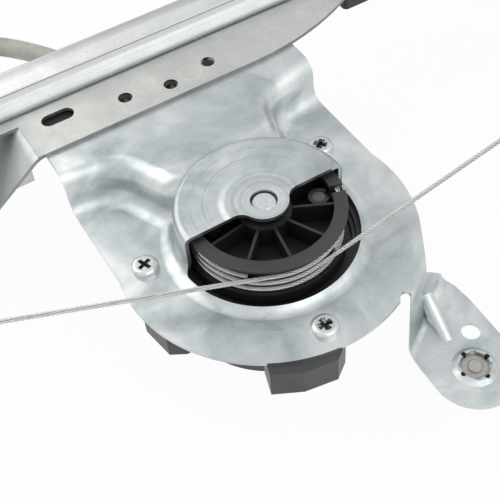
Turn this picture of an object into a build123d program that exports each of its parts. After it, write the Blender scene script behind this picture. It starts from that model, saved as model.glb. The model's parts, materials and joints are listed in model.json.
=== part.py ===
from build123d import *
import math
import os

# Cable-drum window regulator for a car door: one guide rail, a motor-driven drum and a glass carriage.
#
# Everything is drawn in a working frame centred on the drum axis: x away from the rail, y up along
# the rail, and w (the third axis) from the door panel towards the glass, with w = 0 on the front face
# of the drum plate's ring. place() turns that into the part's frame (+Z up, glass side towards -Y)
# and puts the origin on the plate stud, where it meets the door panel.

# ---------------------------------------------------------------- driving dimensions, mm
# sheet metal
PLATE_T = 1.4            # drum plate sheet
RAIL_T = 1.4             # guide rail sheet
BRACKET_T = 2.0          # upper bracket sheet
PANEL_W = -15.4          # face of the door panel, where every foot sits

# cable and drum
CABLE_R = 0.85           # 1.7 mm wire rope
WRAP_R = 26.0            # cable centre line on the drum
DRUM_RIM_R = WRAP_R + 2.0    # drum flanges
DRUM_TOP_W = 13.8        # top face of the drum rim
DRUM_FLANGE_T = 1.0      # upper flange
TURN_PITCH = 3.1         # one cable turn to the next
TURNS = 4                # turns in sight on the drum
CABLE_GAP = 0.15         # cable to drum metal
WRAP_SHORT = 22          # a wound turn stops this short of a full one, degrees
RIM_WALL_R = WRAP_R - 2.7    # inside of the drum rim
SPOKES = 10
SPOKE_T = 1.0
SPOKE_DROP = 1.6         # spoke tops below the rim
WEB_W = 4.0              # top of the drum web
WEB_T = 2.0
HUB_R = 9.2
HUB_DROP = 1.4           # hub top below the rim
DRUM_SKIRT_W = -3.0      # underside of the lower flange
SHAFT_R = 4.1            # drum shaft
SHAFT_TOP_W = 16.3

# drum plate
RING_R = 53.0            # outside of the ring
WELL_R = DRUM_RIM_R + 4.6    # opening round the drum
BAND_LOW_Y = -52.0       # straight edges of the band that runs to the rail
BAND_HIGH_Y = 52.0
DOME_R = DRUM_RIM_R + 2.8    # outside of the dome's wall
DOME_W = 17.0            # dome top
LAND_W = 15.8            # raised land that carries the rail
LAND_TOP_R = 6.5
LAND_FOOT_R = 6.0
DOME_TOP_R = 2.4
LAND_LOW = [(-52.0, -75.0), (-44.5, -33.5), (-20.0, -22.0)]    # the land's wall, below the dome
LAND_HIGH = [(-20.0, 22.0), (-43.5, 29.0), (-54.0, 75.0)]      # and above it
LAND_CORNER_R = 12.0     # corners of the wall, in plan
TAP_R = 2.1              # tapped collars under the ear's first two holes
TAP_WALL = 1.5
TAP_DEPTH = 3.5
DOME_HOLE_R = 4.65
CHORD_X = 0.8            # where the dome is cut open
HUB_LIP_R = 8.5          # rounded lip of the cut round the shaft
SCREWS = [(-9.5, -42.2), (-23.2, 38.0), (44.2, -5.5)]
SCREW_HEAD_R = 4.75
SCREW_HEAD_T = 2.6
SCREW_R = 2.4
SCREW_CLEARANCE = 0.35
SCREW_LENGTH = 14.0

# plate foot
STUD = (75.3, 31.5)
FOOT_R = 14.8
FOOT_HOLE = (63.8, 39.3)
FOOT_HOLE_R = 3.25
NECK_TURN = 34.5         # bend lines' normal, degrees from x
NECK_BEND = 54.8         # upper bend line, from the drum's axis
NECK_RUN = 4.6           # plan length of the steep wall
NECK_R = 2.6
NECK_EDGE = (42.6, 36.2)      # ring's rim ends in the upper bend here
NECK_TOP = (40.4, 45.0)       # neck's upper edge meets the lower bend
NECK_CORNER = (58.3, 17.9)    # neck's lower edge meets the foot's
RELIEF = (48.0, 23.4)    # inner end of the slot between ring and neck
RELIEF_R = 1.7
RELIEF_TURN = -36.4      # in line with the neck's lower edge
BEAD = ((46.5, 33.4, -9.5), (62.0, 31.2, -16.2))   # stiffening bead across the lower bend
BEAD_R = 2.7
BOSS_R = 7.5             # raised seat round the stud
BOSS_H = 1.2
BOSS_WELL_R = 4.9
BOSS_TURN = 14.0
STUD_R = 3.0
STUD_COLLAR_R = 4.0      # clinched in the foot's hole
STUD_LENGTH = 16.0
STUD_TIP_R = 2.4

# guide rail section, x and w
CREASE_X = -85.5
EAR_W = LAND_W + RAIL_T  # front face of the ear, which lies on the land
EAR_EDGE_X = -61.5
EAR_LOW_Y = -55.0
EAR_TURN_Y = 36.0        # from here the ear's edge curves back to the crease
EAR_TOP_Y = 92.0
FLANGE_X = -80.0         # narrow flange past the ear
ARCH_X = -93.5
ARCH_W = 12.8
ARCH_R = 11.0
LIP_W = 4.4              # front face of the slider's lip
LIP_X = -114.0
CREASE_R = 1.2
LIP_CORNER_R = 1.0
RAIL_LOW_Y = -258.0
RAIL_HIGH_Y = 214.0
EAR_HOLES = [(-71.6, -15.7), (-68.4, 1.7), (-71.5, 19.3)]
EAR_HOLE_R = 2.7
EAR_SLOT = (-76.6, -40.8)
EAR_SLOT_LENGTH = 12.6
EAR_SLOT_R = 3.0
SIGHT_HOLE_R = 5.0       # holes in the land behind the ear's hole and slot
SIGHT_SLOT_MARGIN = 3.0
RAIL_FOOT_LOW_Y = -128.0
RAIL_FOOT_HOLE = (-74.5, -113.0)
JOGGLE_RUN = 42.0
JOGGLE_R = 9.0

# pulleys and the cable's route
RAIL_CABLE_X = -95.0     # cable along the rail
PULLEY_WRAP_R = 14.5     # cable centre line on a pulley
PULLEY_RIM_R = 17.1
PULLEY_T = 7.0
PULLEY_PIN_R = 3.0
PULLEY_HEAD_R = 5.5
PULLEY_HEAD_T = 1.6
PIN_FIT = 0.06           # running fit, on the radius
LOW_RUN_TURN = -22.2     # where the lower run leaves the drum, degrees
HIGH_RUN_TURN = 6.7      # where the upper run leaves the drum
HIGH_PULLEY_Y = 195.0
ARM_HALF = 17.0          # upper bracket's half width
ARM_BEND_X = 11.0        # the arm turns down to the panel here
ARM_SLOPE_RUN = 11.0
ARM_FOOT_X = 36.0
ARM_FOOT_HOLE_R = 3.3
RIVET_R = 2.5
RIVET_HEAD_R = 4.4
RIVET_HEAD_T = 1.3

# gear housing and motor
WHEEL_TEETH = 73
MODULE = 0.8
WORM_PITCH_R = 4.0
WORM_CORE_R = 3.1
WORM_TIP_R = 4.6
WORM_TURNS = 4
THREAD_T = 0.9           # thread and tooth thickness on the pitch line
THREAD_TIP_T = 0.5
MOTOR_W = -24.0          # worm axis
WHEEL_T = 7.0
HOUSING_WALL = 2.4
HOUSING_BACK_W = -33.0
POCKET_R = DRUM_RIM_R + 3.0  # pocket that the drum sits in
POCKET_FLOOR_W = -5.0
DIVIDER_T = 2.2
COVER_T = 2.2
CAN_R = 17.0
CAN_T = 1.6
CAN_FRONT_X = -50.0
CAN_REAR_X = -110.0
SHAFT_MOTOR_R = 2.5
CORE_R = 11.4
AIR_GAP = 0.5
MAGNET_T = 3.4
LEAD_R = 4.3

# glass carriage
CARRIAGE_Y = 126.0       # centre of the slider at rest
SLIDER_HALF = 30.0
TRAVEL_DOWN = 300.0
TRAVEL_UP = 17.0
SLIDE_GAP = 0.35
SLIDER_BACK_W = -5.0
SLIDER_X = -120.0
CARRIER_GAP = 1.0        # rail's arch to the carrier plate
CARRIER_W = ARCH_W + ARCH_R + CARRIER_GAP   # back face of the carrier plate
CARRIER_T = 2.0
GLASS_T = 5.0            # slot for the pane
PAD_T = 2.5
BUMPER_T = 6.0

# ---------------------------------------------------------------- derived places
PITCH_R = MODULE * WHEEL_TEETH / 2
WORM_Y = PITCH_R + WORM_PITCH_R
LEAD_PITCH = math.pi * MODULE
HOUSING_R = POCKET_R + 3.5
PLATE_BACK_W = -PLATE_T
TOP_TURN_W = DRUM_TOP_W - DRUM_FLANGE_T - CABLE_GAP - CABLE_R
TURN_W = [TOP_TURN_W - TURN_PITCH * i for i in range(TURNS)]
LOW_CABLE_W = TURN_W[1]
HIGH_CABLE_W = TURN_W[2]
SKIRT_TOP_W = TURN_W[-1] - CABLE_R - CABLE_GAP
LOW_CARRIAGE_Y = CARRIAGE_Y - TRAVEL_DOWN
HIGH_CARRIAGE_Y = CARRIAGE_Y + TRAVEL_UP


def on_circle(center, radius, degrees):
    turn = math.radians(degrees)
    return (center[0] + radius * math.cos(turn), center[1] + radius * math.sin(turn))


LOW_TANGENT = on_circle((0, 0), WRAP_R, LOW_RUN_TURN)
HIGH_TANGENT = on_circle((0, 0), WRAP_R, HIGH_RUN_TURN)


def lower_pulley_center():
    """The pulley touches the rail's cable line on its left and the lower run on its right."""
    x = RAIL_CABLE_X + PULLEY_WRAP_R
    turn = math.radians(LOW_RUN_TURN)
    y = (WRAP_R - PULLEY_WRAP_R - x * math.cos(turn)) / math.sin(turn)
    return (x, y)


def deflector_center():
    """The deflector's right side touches the upper run."""
    turn = math.radians(HIGH_RUN_TURN)
    x = (WRAP_R - PULLEY_WRAP_R - HIGH_PULLEY_Y * math.sin(turn)) / math.cos(turn)
    return (x, HIGH_PULLEY_Y)


LOWER_PULLEY = lower_pulley_center()
UPPER_PULLEY = (RAIL_CABLE_X + PULLEY_WRAP_R, HIGH_PULLEY_Y)
DEFLECTOR = deflector_center()
PULLEY_W = LOW_CABLE_W


# ---------------------------------------------------------------- helpers
def place(shape):
    """From the working frame to the part's frame, with the origin on the stud's seat."""
    return Location((-STUD[0], PANEL_W, -STUD[1])) * (Rot(90, 0, 0) * shape)


def level(w):
    return Location((0, 0, w))


def disc(center, radius, low, high):
    return Location((center[0], center[1], low)) * extrude(Circle(radius), high - low)


def ring(center, outer, inner, low, high):
    return disc(center, outer, low, high) - disc(center, inner, low - 1, high + 1)


def block(x0, x1, y0, y1, low, high):
    corner = Location(((x0 + x1) / 2, (y0 + y1) / 2, (low + high) / 2))
    return corner * Box(abs(x1 - x0), abs(y1 - y0), abs(high - low))


def prism(points, low, high):
    return level(low) * extrude(make_face(Polyline(*points, close=True)), high - low)


def rod(x0, x1, y, w, radius):
    """A cylinder along x."""
    return Location(((x0 + x1) / 2, y, w)) * (Rot(0, 90, 0) * Cylinder(radius, abs(x1 - x0)))


def turned(points, low=0):
    """A solid of revolution about the working frame's w axis from (radius, w) points."""
    face = make_face(Polyline(*[(r, 0, w) for r, w in points], close=True))
    return revolve(face, Axis.Z)


def one(shape):
    """The largest solid of a shape."""
    return max(shape.solids(), key=lambda s: s.volume)


# ---------------------------------------------------------------- drum plate
def land_outline(inset):
    """The raised land's wall in plan, pulled in all round by inset; it ends inside the dome."""
    corners = [(-115, -75), *LAND_LOW, *LAND_HIGH, (-115, 75)]
    outline = make_face(Polyline(*corners, close=True))
    walls = outline.vertices().filter_by(lambda v: v.X > -50)
    outline = Sketch() + fillet(walls, LAND_CORNER_R)
    return offset(outline, -inset) if inset else outline


def land_form(inset):
    """The press tool's form, lowered and pulled in by inset; two of them bound the sheet."""
    slab = block(-130, 130, -90, 90, -30, -inset)
    form = slab + level(-inset) * extrude(land_outline(inset), LAND_W)
    foot = form.edges().filter_by(lambda e: abs(e.center().Z + inset) < 0.01
                                  and abs(e.center().Y) < 70 and e.center().X < 20)
    form = fillet(foot, LAND_FOOT_R + inset)
    top = form.faces().sort_by(Axis.Z)[-1].edges()
    top = top.filter_by(lambda e: abs(e.center().Y) < 70 and e.center().X > -100)
    form = fillet(top, LAND_TOP_R - inset)
    return form + dome_form(inset)


def dome_form(inset):
    """The dome with the flare at its foot, as one turned shape."""
    outer, top, foot_w = DOME_R - inset, DOME_W - inset, -inset
    flare, crown = LAND_FOOT_R + inset, DOME_TOP_R - inset
    slant = math.sqrt(0.5)
    wall = [Line((0, foot_w - 1), (outer + flare, foot_w - 1)),
            Line((outer + flare, foot_w - 1), (outer + flare, foot_w)),
            ThreePointArc((outer + flare, foot_w),
                          (outer + flare * (1 - slant), foot_w + flare * (1 - slant)),
                          (outer, foot_w + flare)),
            Line((outer, foot_w + flare), (outer, top - crown)),
            ThreePointArc((outer, top - crown),
                          (outer - crown * (1 - slant), top - crown * (1 - slant)),
                          (outer - crown, top)),
            Line((outer - crown, top), (0, top)),
            Line((0, top), (0, foot_w - 1))]
    return revolve(Rot(90, 0, 0) * make_face(wall), Axis.Z)


def rim_end():
    """Where the straight edge from the neck touches the ring's rim."""
    edge_turn = math.degrees(math.atan2(NECK_EDGE[1], NECK_EDGE[0]))
    return on_circle((0, 0), RING_R, edge_turn + math.degrees(math.acos(RING_R / math.hypot(*NECK_EDGE))))


def plate_outline():
    """Ring and band; the ring's rim runs straight to the neck and stops at its bend."""
    band = Pos((CREASE_X + 0.3) / 2, (BAND_LOW_Y + BAND_HIGH_Y) / 2)
    outline = Circle(RING_R) + band * Rectangle(-CREASE_X - 0.3, BAND_HIGH_Y - BAND_LOW_Y)
    inside = on_circle((0, 0), RING_R - 12, NECK_TURN)
    outline += make_face(Polyline(inside, on_circle(RELIEF, RELIEF_R, RELIEF_TURN + 90), NECK_EDGE,
                                  rim_end(), close=True))
    past_bend = Rot(0, 0, NECK_TURN) * (Pos(NECK_BEND - NECK_R + 15, 0) * Rectangle(30, 120))
    return outline - (past_bend & foot_outline())


def well_cut():
    """Half of the well: the circle right of the chord, less the lip round the shaft."""
    half = Circle(WELL_R) & (Pos(CHORD_X + 50, 0) * Rectangle(100, 100))
    half -= Circle(HUB_LIP_R)
    corners = half.vertices().filter_by(lambda v: abs(v.X - CHORD_X) < 0.01)
    inner = corners.filter_by(lambda v: abs(v.Y) < 15)
    outer = corners.filter_by(lambda v: abs(v.Y) > 15)
    half = fillet(inner, 5.0)
    outer = half.vertices().filter_by(lambda v: abs(v.X - CHORD_X) < 0.01 and abs(v.Y) > 20)
    return fillet(outer, 2.5)


def foot_strip():
    """The foot's bent sheet before its outline is cut, square to the upper bend line."""
    foot_w = PANEL_W + PLATE_T
    path = FilletPolyline((NECK_BEND - 14, 0), (NECK_BEND, 0), (NECK_BEND + NECK_RUN, foot_w),
                          (NECK_BEND + 60, foot_w), radius=NECK_R)
    face = make_face(offset(path, PLATE_T, side=Side.RIGHT))
    strip = Rot(90, 0, 0) * extrude(face, 60, both=True)
    return Rot(0, 0, NECK_TURN) * strip


def foot_outline():
    """The foot in plan, from inside the ring round the stud and back."""
    low, high = STUD[1] - FOOT_R, STUD[1] + FOOT_R
    tip = Pos(*STUD) * Circle(FOOT_R)
    body = make_face(Polyline((40, 29.5), on_circle(RELIEF, RELIEF_R, RELIEF_TURN + 90), NECK_CORNER,
                              (STUD[0] - 10, low + 0.3), (STUD[0], low), (STUD[0], high),
                              (STUD[0] - 22, high + 0.9), (NECK_TOP[0] + 6, high + 0.4), NECK_TOP,
                              NECK_EDGE, rim_end(), (28, 34), close=True))
    body = Sketch() + fillet(body.vertices().filter_by(lambda v: v.Y < low + 2 and v.X < 62), 2.0)
    return tip + body


def behind_neck():
    """Everything behind the neck's wall and the foot, to trim the bead."""
    foot_w = PANEL_W + PLATE_T
    points = [(NECK_BEND - 30, -1), (NECK_BEND - 1.2, -1), (NECK_BEND + NECK_RUN - 1.2, foot_w),
              (NECK_BEND + NECK_RUN - 1.2, PANEL_W), (NECK_BEND + 60, PANEL_W), (NECK_BEND + 60, -40),
              (NECK_BEND - 30, -40)]
    face = make_face(Polyline(*points, close=True))
    return Rot(0, 0, NECK_TURN) * (Rot(90, 0, 0) * extrude(face, 60, both=True))


def rod_between(a, b, radius):
    """A round bar from point a to point b."""
    axis = Vector(*b) - Vector(*a)
    return Plane(origin=a, z_dir=axis) * extrude(Circle(radius), axis.length)


def drum_plate():
    sheet = land_form(0) - land_form(PLATE_T)
    sheet &= level(-3) * extrude(plate_outline(), 30)
    sheet += foot_strip() & (level(-30) * extrude(foot_outline(), 60))
    # a hollow bead stiffens the neck's lower bend
    sheet += rod_between(*BEAD, BEAD_R) - behind_neck()
    sheet -= rod_between(*BEAD, BEAD_R - PLATE_T)
    sheet -= level(-5) * extrude(relief_slot(), 10)
    sheet -= level(-5) * extrude(well_cut(), 40)
    sheet -= disc((0, 0), DOME_HOLE_R, 5, 30)
    for spot in SCREWS:
        sheet -= disc(spot, SCREW_R + SCREW_CLEARANCE, -5, 5)
    for spot in EAR_HOLES[:2]:
        sheet += disc(spot, TAP_R + TAP_WALL, LAND_W - PLATE_T - TAP_DEPTH, LAND_W - 0.3)
        sheet -= disc(spot, TAP_R, 5, 25)
    sheet -= disc(EAR_HOLES[2], SIGHT_HOLE_R, 5, 25)
    sheet -= slot_cut(EAR_SLOT, EAR_SLOT_LENGTH + 2 * SIGHT_SLOT_MARGIN,
                      EAR_SLOT_R + SIGHT_SLOT_MARGIN)
    # raised seat round the stud, with a recess and four staking notches
    front = PANEL_W + PLATE_T
    boss = turned([(STUD_COLLAR_R - 0.5, front - 0.3), (BOSS_R, front - 0.3), (BOSS_R, front),
                   (BOSS_R - 1.6, front + BOSS_H), (BOSS_WELL_R, front + BOSS_H),
                   (BOSS_WELL_R - 0.3, front), (STUD_COLLAR_R - 0.5, front)])
    for turn in range(45, 360, 90):
        notch = block(BOSS_WELL_R - 1, BOSS_WELL_R + 0.6, -0.9, 0.9, front + 0.2, front + 4)
        boss -= Rot(0, 0, turn + BOSS_TURN) * notch
    sheet += Pos(STUD[0], STUD[1], 0) * boss
    sheet -= disc(STUD, STUD_COLLAR_R, -25, -5)
    sheet -= disc(FOOT_HOLE, FOOT_HOLE_R, -25, -5)
    return one(sheet)


def relief_slot():
    """Slot between the ring's rim and the neck, round at its inner end."""
    end = on_circle(RELIEF, 12, RELIEF_TURN)
    turn = math.radians(RELIEF_TURN)
    side = (-RELIEF_R * math.sin(turn), RELIEF_R * math.cos(turn))
    run = Polyline((RELIEF[0] + side[0], RELIEF[1] + side[1]), (end[0] + side[0], end[1] + side[1]),
                   (end[0] - side[0], end[1] - side[1]), (RELIEF[0] - side[0], RELIEF[1] - side[1]),
                   close=True)
    return Pos(*RELIEF) * Circle(RELIEF_R) + make_face(run)


def slot_cut(center, length, radius):
    outline = Pos(*center) * (Rot(0, 0, 90) * SlotOverall(length, 2 * radius))
    return level(5) * extrude(outline, 20)


# ---------------------------------------------------------------- guide rail and upper bracket
def rail_section(flange_x):
    """The rail's section, with its flange or ear reaching out to flange_x."""
    groove = (-88.8, 22.4)
    back = ARCH_X - ARCH_R
    with BuildLine() as front:
        flat = Line((flange_x, EAR_W), (CREASE_X, EAR_W))
        flank = Line(flat @ 1, groove)
        arch = ThreePointArc(flank @ 1, (ARCH_X, ARCH_W + ARCH_R), (back, ARCH_W))
        wall = Line(arch @ 1, (back, LIP_W))
        Line(wall @ 1, (LIP_X, LIP_W))
    path = front.wire()
    path = fillet_wire(path)
    section = make_face(offset(path, RAIL_T, side=Side.LEFT))
    if section.bounding_box().max.Y > ARCH_W + ARCH_R + RAIL_T / 2:
        section = make_face(offset(path, RAIL_T, side=Side.RIGHT))
    return section


def fillet_wire(path):
    """Rounds the crease and the lip's corner."""
    crease = [v for v in path.vertices() if abs(v.X - CREASE_X) < 0.1]
    path = path.fillet_2d(CREASE_R, crease)
    corner = [v for v in path.vertices() if abs(v.Y - LIP_W) < 0.1 and v.X > LIP_X + 1]
    return path.fillet_2d(LIP_CORNER_R, corner)


def run_of(section, low, high):
    """The section, drawn in x and w, swept along y from low to high."""
    return Location((0, low, 0)) * (Rot(90, 0, 0) * extrude(section, low - high))


def ear_outline():
    """The ear in plan: straight beside the plate, then curving back to the flange."""
    with BuildLine() as edge:
        side = Line((EAR_EDGE_X, EAR_LOW_Y), (EAR_EDGE_X, EAR_TURN_Y))
        curve = ThreePointArc(side @ 1, (EAR_EDGE_X - 3.8, 62.0), (FLANGE_X + 1.5, EAR_TOP_Y))
        Polyline(curve @ 1, (CREASE_X - 1, EAR_TOP_Y), (CREASE_X - 1, EAR_LOW_Y), side @ 0)
    return make_face(edge.wire())


def rail_foot():
    """Below the ear the sheet is drawn down to the door panel."""
    foot_w = PANEL_W + RAIL_T
    low = EAR_LOW_Y - JOGGLE_RUN
    path = FilletPolyline((EAR_LOW_Y + 6, EAR_W), (EAR_LOW_Y, EAR_W), (low, foot_w),
                          (RAIL_FOOT_LOW_Y, foot_w), radius=JOGGLE_R)
    side = make_face(offset(path, RAIL_T, side=Side.LEFT))
    if side.bounding_box().max.Y > EAR_W + RAIL_T / 2:
        side = make_face(offset(path, RAIL_T, side=Side.RIGHT))
    sheet = Rot(0, 90, 0) * (Rot(0, 0, 90) * extrude(side, EAR_EDGE_X - CREASE_X))
    sheet = Location((CREASE_X, 0, 0)) * sheet
    return sheet


def guide_rail():
    rail = run_of(rail_section(FLANGE_X), RAIL_LOW_Y, RAIL_HIGH_Y)
    ear = level(EAR_W - RAIL_T) * extrude(ear_outline(), RAIL_T)
    rail += ear
    rail += rail_foot()
    rail += block(CREASE_X - RAIL_T / 2, CREASE_X + RAIL_T / 2, RAIL_FOOT_LOW_Y, EAR_LOW_Y + 0.5,
                  PANEL_W, EAR_W - 0.4)
    for center, outer in ((LOWER_PULLEY, PULLEY_RIM_R - 1), (UPPER_PULLEY, PULLEY_RIM_R - 1)):
        tab = disc(center, outer, EAR_W - RAIL_T, EAR_W)
        tab += block(CREASE_X, center[0], center[1] - outer, center[1] + outer,
                     EAR_W - RAIL_T, EAR_W)
        rail += tab & block(CREASE_X - 1, 0, -400, 400, 0, 30)
        rail -= disc(center, PULLEY_PIN_R + PIN_FIT, 10, 20)
    for spot in RIVETS:
        rail += disc(spot, RIVET_HEAD_R + 1.6, EAR_W - RAIL_T, EAR_W)
        rail -= disc(spot, RIVET_R + PIN_FIT, 10, 20)
    for spot in EAR_HOLES:
        rail -= disc(spot, EAR_HOLE_R, 5, 25)
    rail -= slot_cut(EAR_SLOT, EAR_SLOT_LENGTH, EAR_SLOT_R)
    rail -= disc(RAIL_FOOT_HOLE, FOOT_HOLE_R, -25, 0)
    return one(rail)


def upper_bracket():
    """The arm that carries the deflector, and comes down to the door panel at its end."""
    foot_w = PANEL_W + BRACKET_T
    top_w = EAR_W - RAIL_T
    path = FilletPolyline((CREASE_X + 1, top_w), (ARM_BEND_X, top_w),
                          (ARM_BEND_X + ARM_SLOPE_RUN, foot_w), (ARM_FOOT_X + 12, foot_w), radius=4.0)
    side = make_face(offset(path, BRACKET_T, side=Side.RIGHT))
    strip = Location((0, HIGH_PULLEY_Y, 0)) * (Rot(90, 0, 0) * extrude(side, ARM_HALF, both=True))
    plan = Pos((CREASE_X + ARM_FOOT_X) / 2, HIGH_PULLEY_Y)
    length = ARM_FOOT_X - CREASE_X
    outline = plan * Rectangle(length, 2 * ARM_HALF)
    outline += Pos(ARM_FOOT_X, HIGH_PULLEY_Y) * Circle(ARM_HALF - 5)
    outline -= Pos(ARM_FOOT_X, HIGH_PULLEY_Y) * (Rectangle(24, 2 * ARM_HALF) - Circle(ARM_HALF - 5)
                                                 - Pos(-12, 0) * Rectangle(8, 2 * ARM_HALF - 10))
    arm = strip & (level(-30) * extrude(outline, 60))
    window = Pos((UPPER_PULLEY[0] + DEFLECTOR[0]) / 2, HIGH_PULLEY_Y) * SlotOverall(36, 16)
    arm -= level(0) * extrude(window, 30)
    for center in (UPPER_PULLEY, DEFLECTOR):
        arm -= disc(center, PULLEY_PIN_R + PIN_FIT, 10, 20)
    for spot in RIVETS:
        arm -= disc(spot, RIVET_R + PIN_FIT, 10, 20)
    arm -= disc((ARM_FOOT_X, HIGH_PULLEY_Y), ARM_FOOT_HOLE_R, -25, 0)
    return one(arm)


RIVETS = [(UPPER_PULLEY[0] + 12.5, UPPER_PULLEY[1] + side * 10.5) for side in (-1, 1)]


def bracket_rivets():
    top_w = EAR_W - RAIL_T
    group = []
    for spot in RIVETS:
        rivet = disc(spot, RIVET_R, top_w - BRACKET_T - 0.1, EAR_W + 0.1)
        for low in (EAR_W, top_w - BRACKET_T - RIVET_HEAD_T):
            head = disc(spot, RIVET_HEAD_R, low, low + RIVET_HEAD_T)
            outer = head.edges().sort_by(Axis.Z)[-1 if low == EAR_W else 0]
            rivet += fillet(outer, RIVET_HEAD_T * 0.7)
        group.append(rivet)
    return group


# ---------------------------------------------------------------- pulleys
def pulley(center):
    """Grooved wheel with a thin web, turning on its pin."""
    half = PULLEY_T / 2
    bottom = PULLEY_WRAP_R - CABLE_R - CABLE_GAP
    groove = 1.6
    points = [(PULLEY_PIN_R + PIN_FIT, PULLEY_W - half), (6.5, PULLEY_W - half),
              (6.5, PULLEY_W - 1.2), (bottom - 2.2, PULLEY_W - 1.2),
              (bottom - 2.2, PULLEY_W - half), (PULLEY_RIM_R, PULLEY_W - half + 0.8),
              (bottom + 0.6, PULLEY_W - groove * 0.75), (bottom, PULLEY_W - groove * 0.3),
              (bottom, PULLEY_W + groove * 0.3), (bottom + 0.6, PULLEY_W + groove * 0.75),
              (PULLEY_RIM_R, PULLEY_W + half - 0.8), (bottom - 2.2, PULLEY_W + half),
              (bottom - 2.2, PULLEY_W + 1.2), (6.5, PULLEY_W + 1.2),
              (6.5, PULLEY_W + half), (PULLEY_PIN_R + PIN_FIT, PULLEY_W + half)]
    wheel = turned(points)
    for k in range(6):
        wheel -= disc(on_circle((0, 0), 8.0, 60 * k + 30), 1.1, PULLEY_W - 3, PULLEY_W + 3)
    return Pos(*center) * wheel


def pulley_pin(center, carrier_back, carrier_front):
    """Shouldered rivet: head behind the pulley, collar up to its carrier, riveted over in front."""
    half = PULLEY_T / 2
    pin = disc(center, PULLEY_PIN_R, PULLEY_W - half - 1.9, carrier_front + 0.2)
    pin += disc(center, PULLEY_HEAD_R, PULLEY_W - half - 0.3 - PULLEY_HEAD_T, PULLEY_W - half - 0.3)
    pin += disc(center, PULLEY_HEAD_R, PULLEY_W + half + 0.2, carrier_back)
    head = disc(center, PULLEY_HEAD_R - 1.6, carrier_front, carrier_front + PULLEY_HEAD_T)
    return pin + fillet(head.edges().sort_by(Axis.Z)[-1], 1.0)


# ---------------------------------------------------------------- lift cable
def wire_rope(edges):
    path = Wire(edges)
    start = Plane(origin=path @ 0, z_dir=path % 0)
    return sweep(start * Circle(CABLE_R), path=path)


def lift_cable():
    """Off the drum to the lower pulley, up the rail, over both upper pulleys and back to the drum.

    The upper run falls one turn's pitch on its way to the drum, so it is a length of its own.
    """
    low_w, high_w = LOW_CABLE_W, HIGH_CABLE_W
    wrap = 360 - WRAP_SHORT
    r = PULLEY_WRAP_R

    def at(point, w):
        return (point[0], point[1], w)

    def clockwise(center, radius, start, size, w):
        points = [on_circle(center, radius, start - size * k / 2) for k in range(3)]
        return ThreePointArc(*[at(p, w) for p in points])

    def drum_wrap(start, w):
        return [clockwise((0, 0), WRAP_R, start, wrap / 2, w),
                clockwise((0, 0), WRAP_R, start - wrap / 2, wrap / 2, w)]

    low_arc = clockwise(LOWER_PULLEY, r, LOW_RUN_TURN, 180 + LOW_RUN_TURN, low_w)
    top_arc = clockwise(UPPER_PULLEY, r, 180, 90, low_w)
    turn_arc = clockwise(DEFLECTOR, r, 90, 90 - HIGH_RUN_TURN, low_w)
    lower = wire_rope(drum_wrap(LOW_RUN_TURN + wrap, low_w) + [
        Line(at(LOW_TANGENT, low_w), low_arc @ 0), low_arc,
        Line(low_arc @ 1, top_arc @ 0), top_arc,
        Line(top_arc @ 1, turn_arc @ 0), turn_arc])
    upper = wire_rope([Line(turn_arc @ 1, at(HIGH_TANGENT, high_w))])
    wound = wire_rope(drum_wrap(HIGH_RUN_TURN, high_w))
    return [lower, upper, wound]


# ---------------------------------------------------------------- drum
SPOKE_TURN = 26.5        # one spoke's direction, degrees
NOTCH_TURN = 74.0        # rim notch where the wire's end goes in
NIPPLE_AT = RIM_WALL_R - 4.3    # wire end nipple, from the drum axis
FLAT_HALF = 3.3          # shaft flats that drive the drum
FLAT_GAP = 0.05


def drive_section(radius, half):
    return Circle(radius) & Rectangle(2 * half, 4 * radius)


def cable_drum():
    """Moulded drum: grooved barrel between two flanges, spoked web and a hub driven by flats."""
    groove_r = WRAP_R - CABLE_R - CABLE_GAP
    land_r = groove_r + 0.8
    half = CABLE_R + CABLE_GAP
    outline = [(RIM_WALL_R, DRUM_TOP_W), (DRUM_RIM_R, DRUM_TOP_W),
               (DRUM_RIM_R, DRUM_TOP_W - DRUM_FLANGE_T + 0.2), (groove_r + 1, DRUM_TOP_W - DRUM_FLANGE_T)]
    for k, w in enumerate(TURN_W):
        outline += [(groove_r, w + half), (groove_r, w - half)]
        if k < TURNS - 1:
            outline += [(land_r, w - half), (land_r, TURN_W[k + 1] + half)]
    outline += [(groove_r, SKIRT_TOP_W), (DRUM_RIM_R, SKIRT_TOP_W), (DRUM_RIM_R, DRUM_SKIRT_W),
                (RIM_WALL_R, DRUM_SKIRT_W), (RIM_WALL_R, WEB_W - WEB_T), (HUB_R, WEB_W - WEB_T),
                (HUB_R, DRUM_SKIRT_W), (0, DRUM_SKIRT_W), (0, DRUM_TOP_W - HUB_DROP),
                (HUB_R, DRUM_TOP_W - HUB_DROP), (HUB_R, WEB_W), (RIM_WALL_R, WEB_W)]
    clean = [p for k, p in enumerate(outline) if k == 0 or p != outline[k - 1]]
    drum = turned(clean)
    for k in range(SPOKES):
        turn = SPOKE_TURN + 360 / SPOKES * k
        spoke = block(HUB_R - 0.5, RIM_WALL_R + 0.5, -SPOKE_T / 2, SPOKE_T / 2,
                      WEB_W - 0.1, DRUM_TOP_W - SPOKE_DROP)
        drum += Rot(0, 0, turn) * spoke
    pocket_low = TOP_TURN_W - CABLE_R - 0.3
    for turn in (NOTCH_TURN, NOTCH_TURN + 180):
        notch = block(NIPPLE_AT, DRUM_RIM_R + 1, -1.6, 1.6, pocket_low, DRUM_TOP_W + 1)
        boss = disc((NIPPLE_AT, 0), 3.6, WEB_W - 0.1, DRUM_TOP_W - SPOKE_DROP)
        bore = disc((NIPPLE_AT, 0), 2.3, pocket_low - 2, DRUM_TOP_W + 1)
        drum = drum + Rot(0, 0, turn) * boss - Rot(0, 0, turn) * (notch + bore)
    drum -= level(DRUM_SKIRT_W - 1) * extrude(drive_section(SHAFT_R + FLAT_GAP, FLAT_HALF + FLAT_GAP), 40)
    return one(drum)


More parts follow.
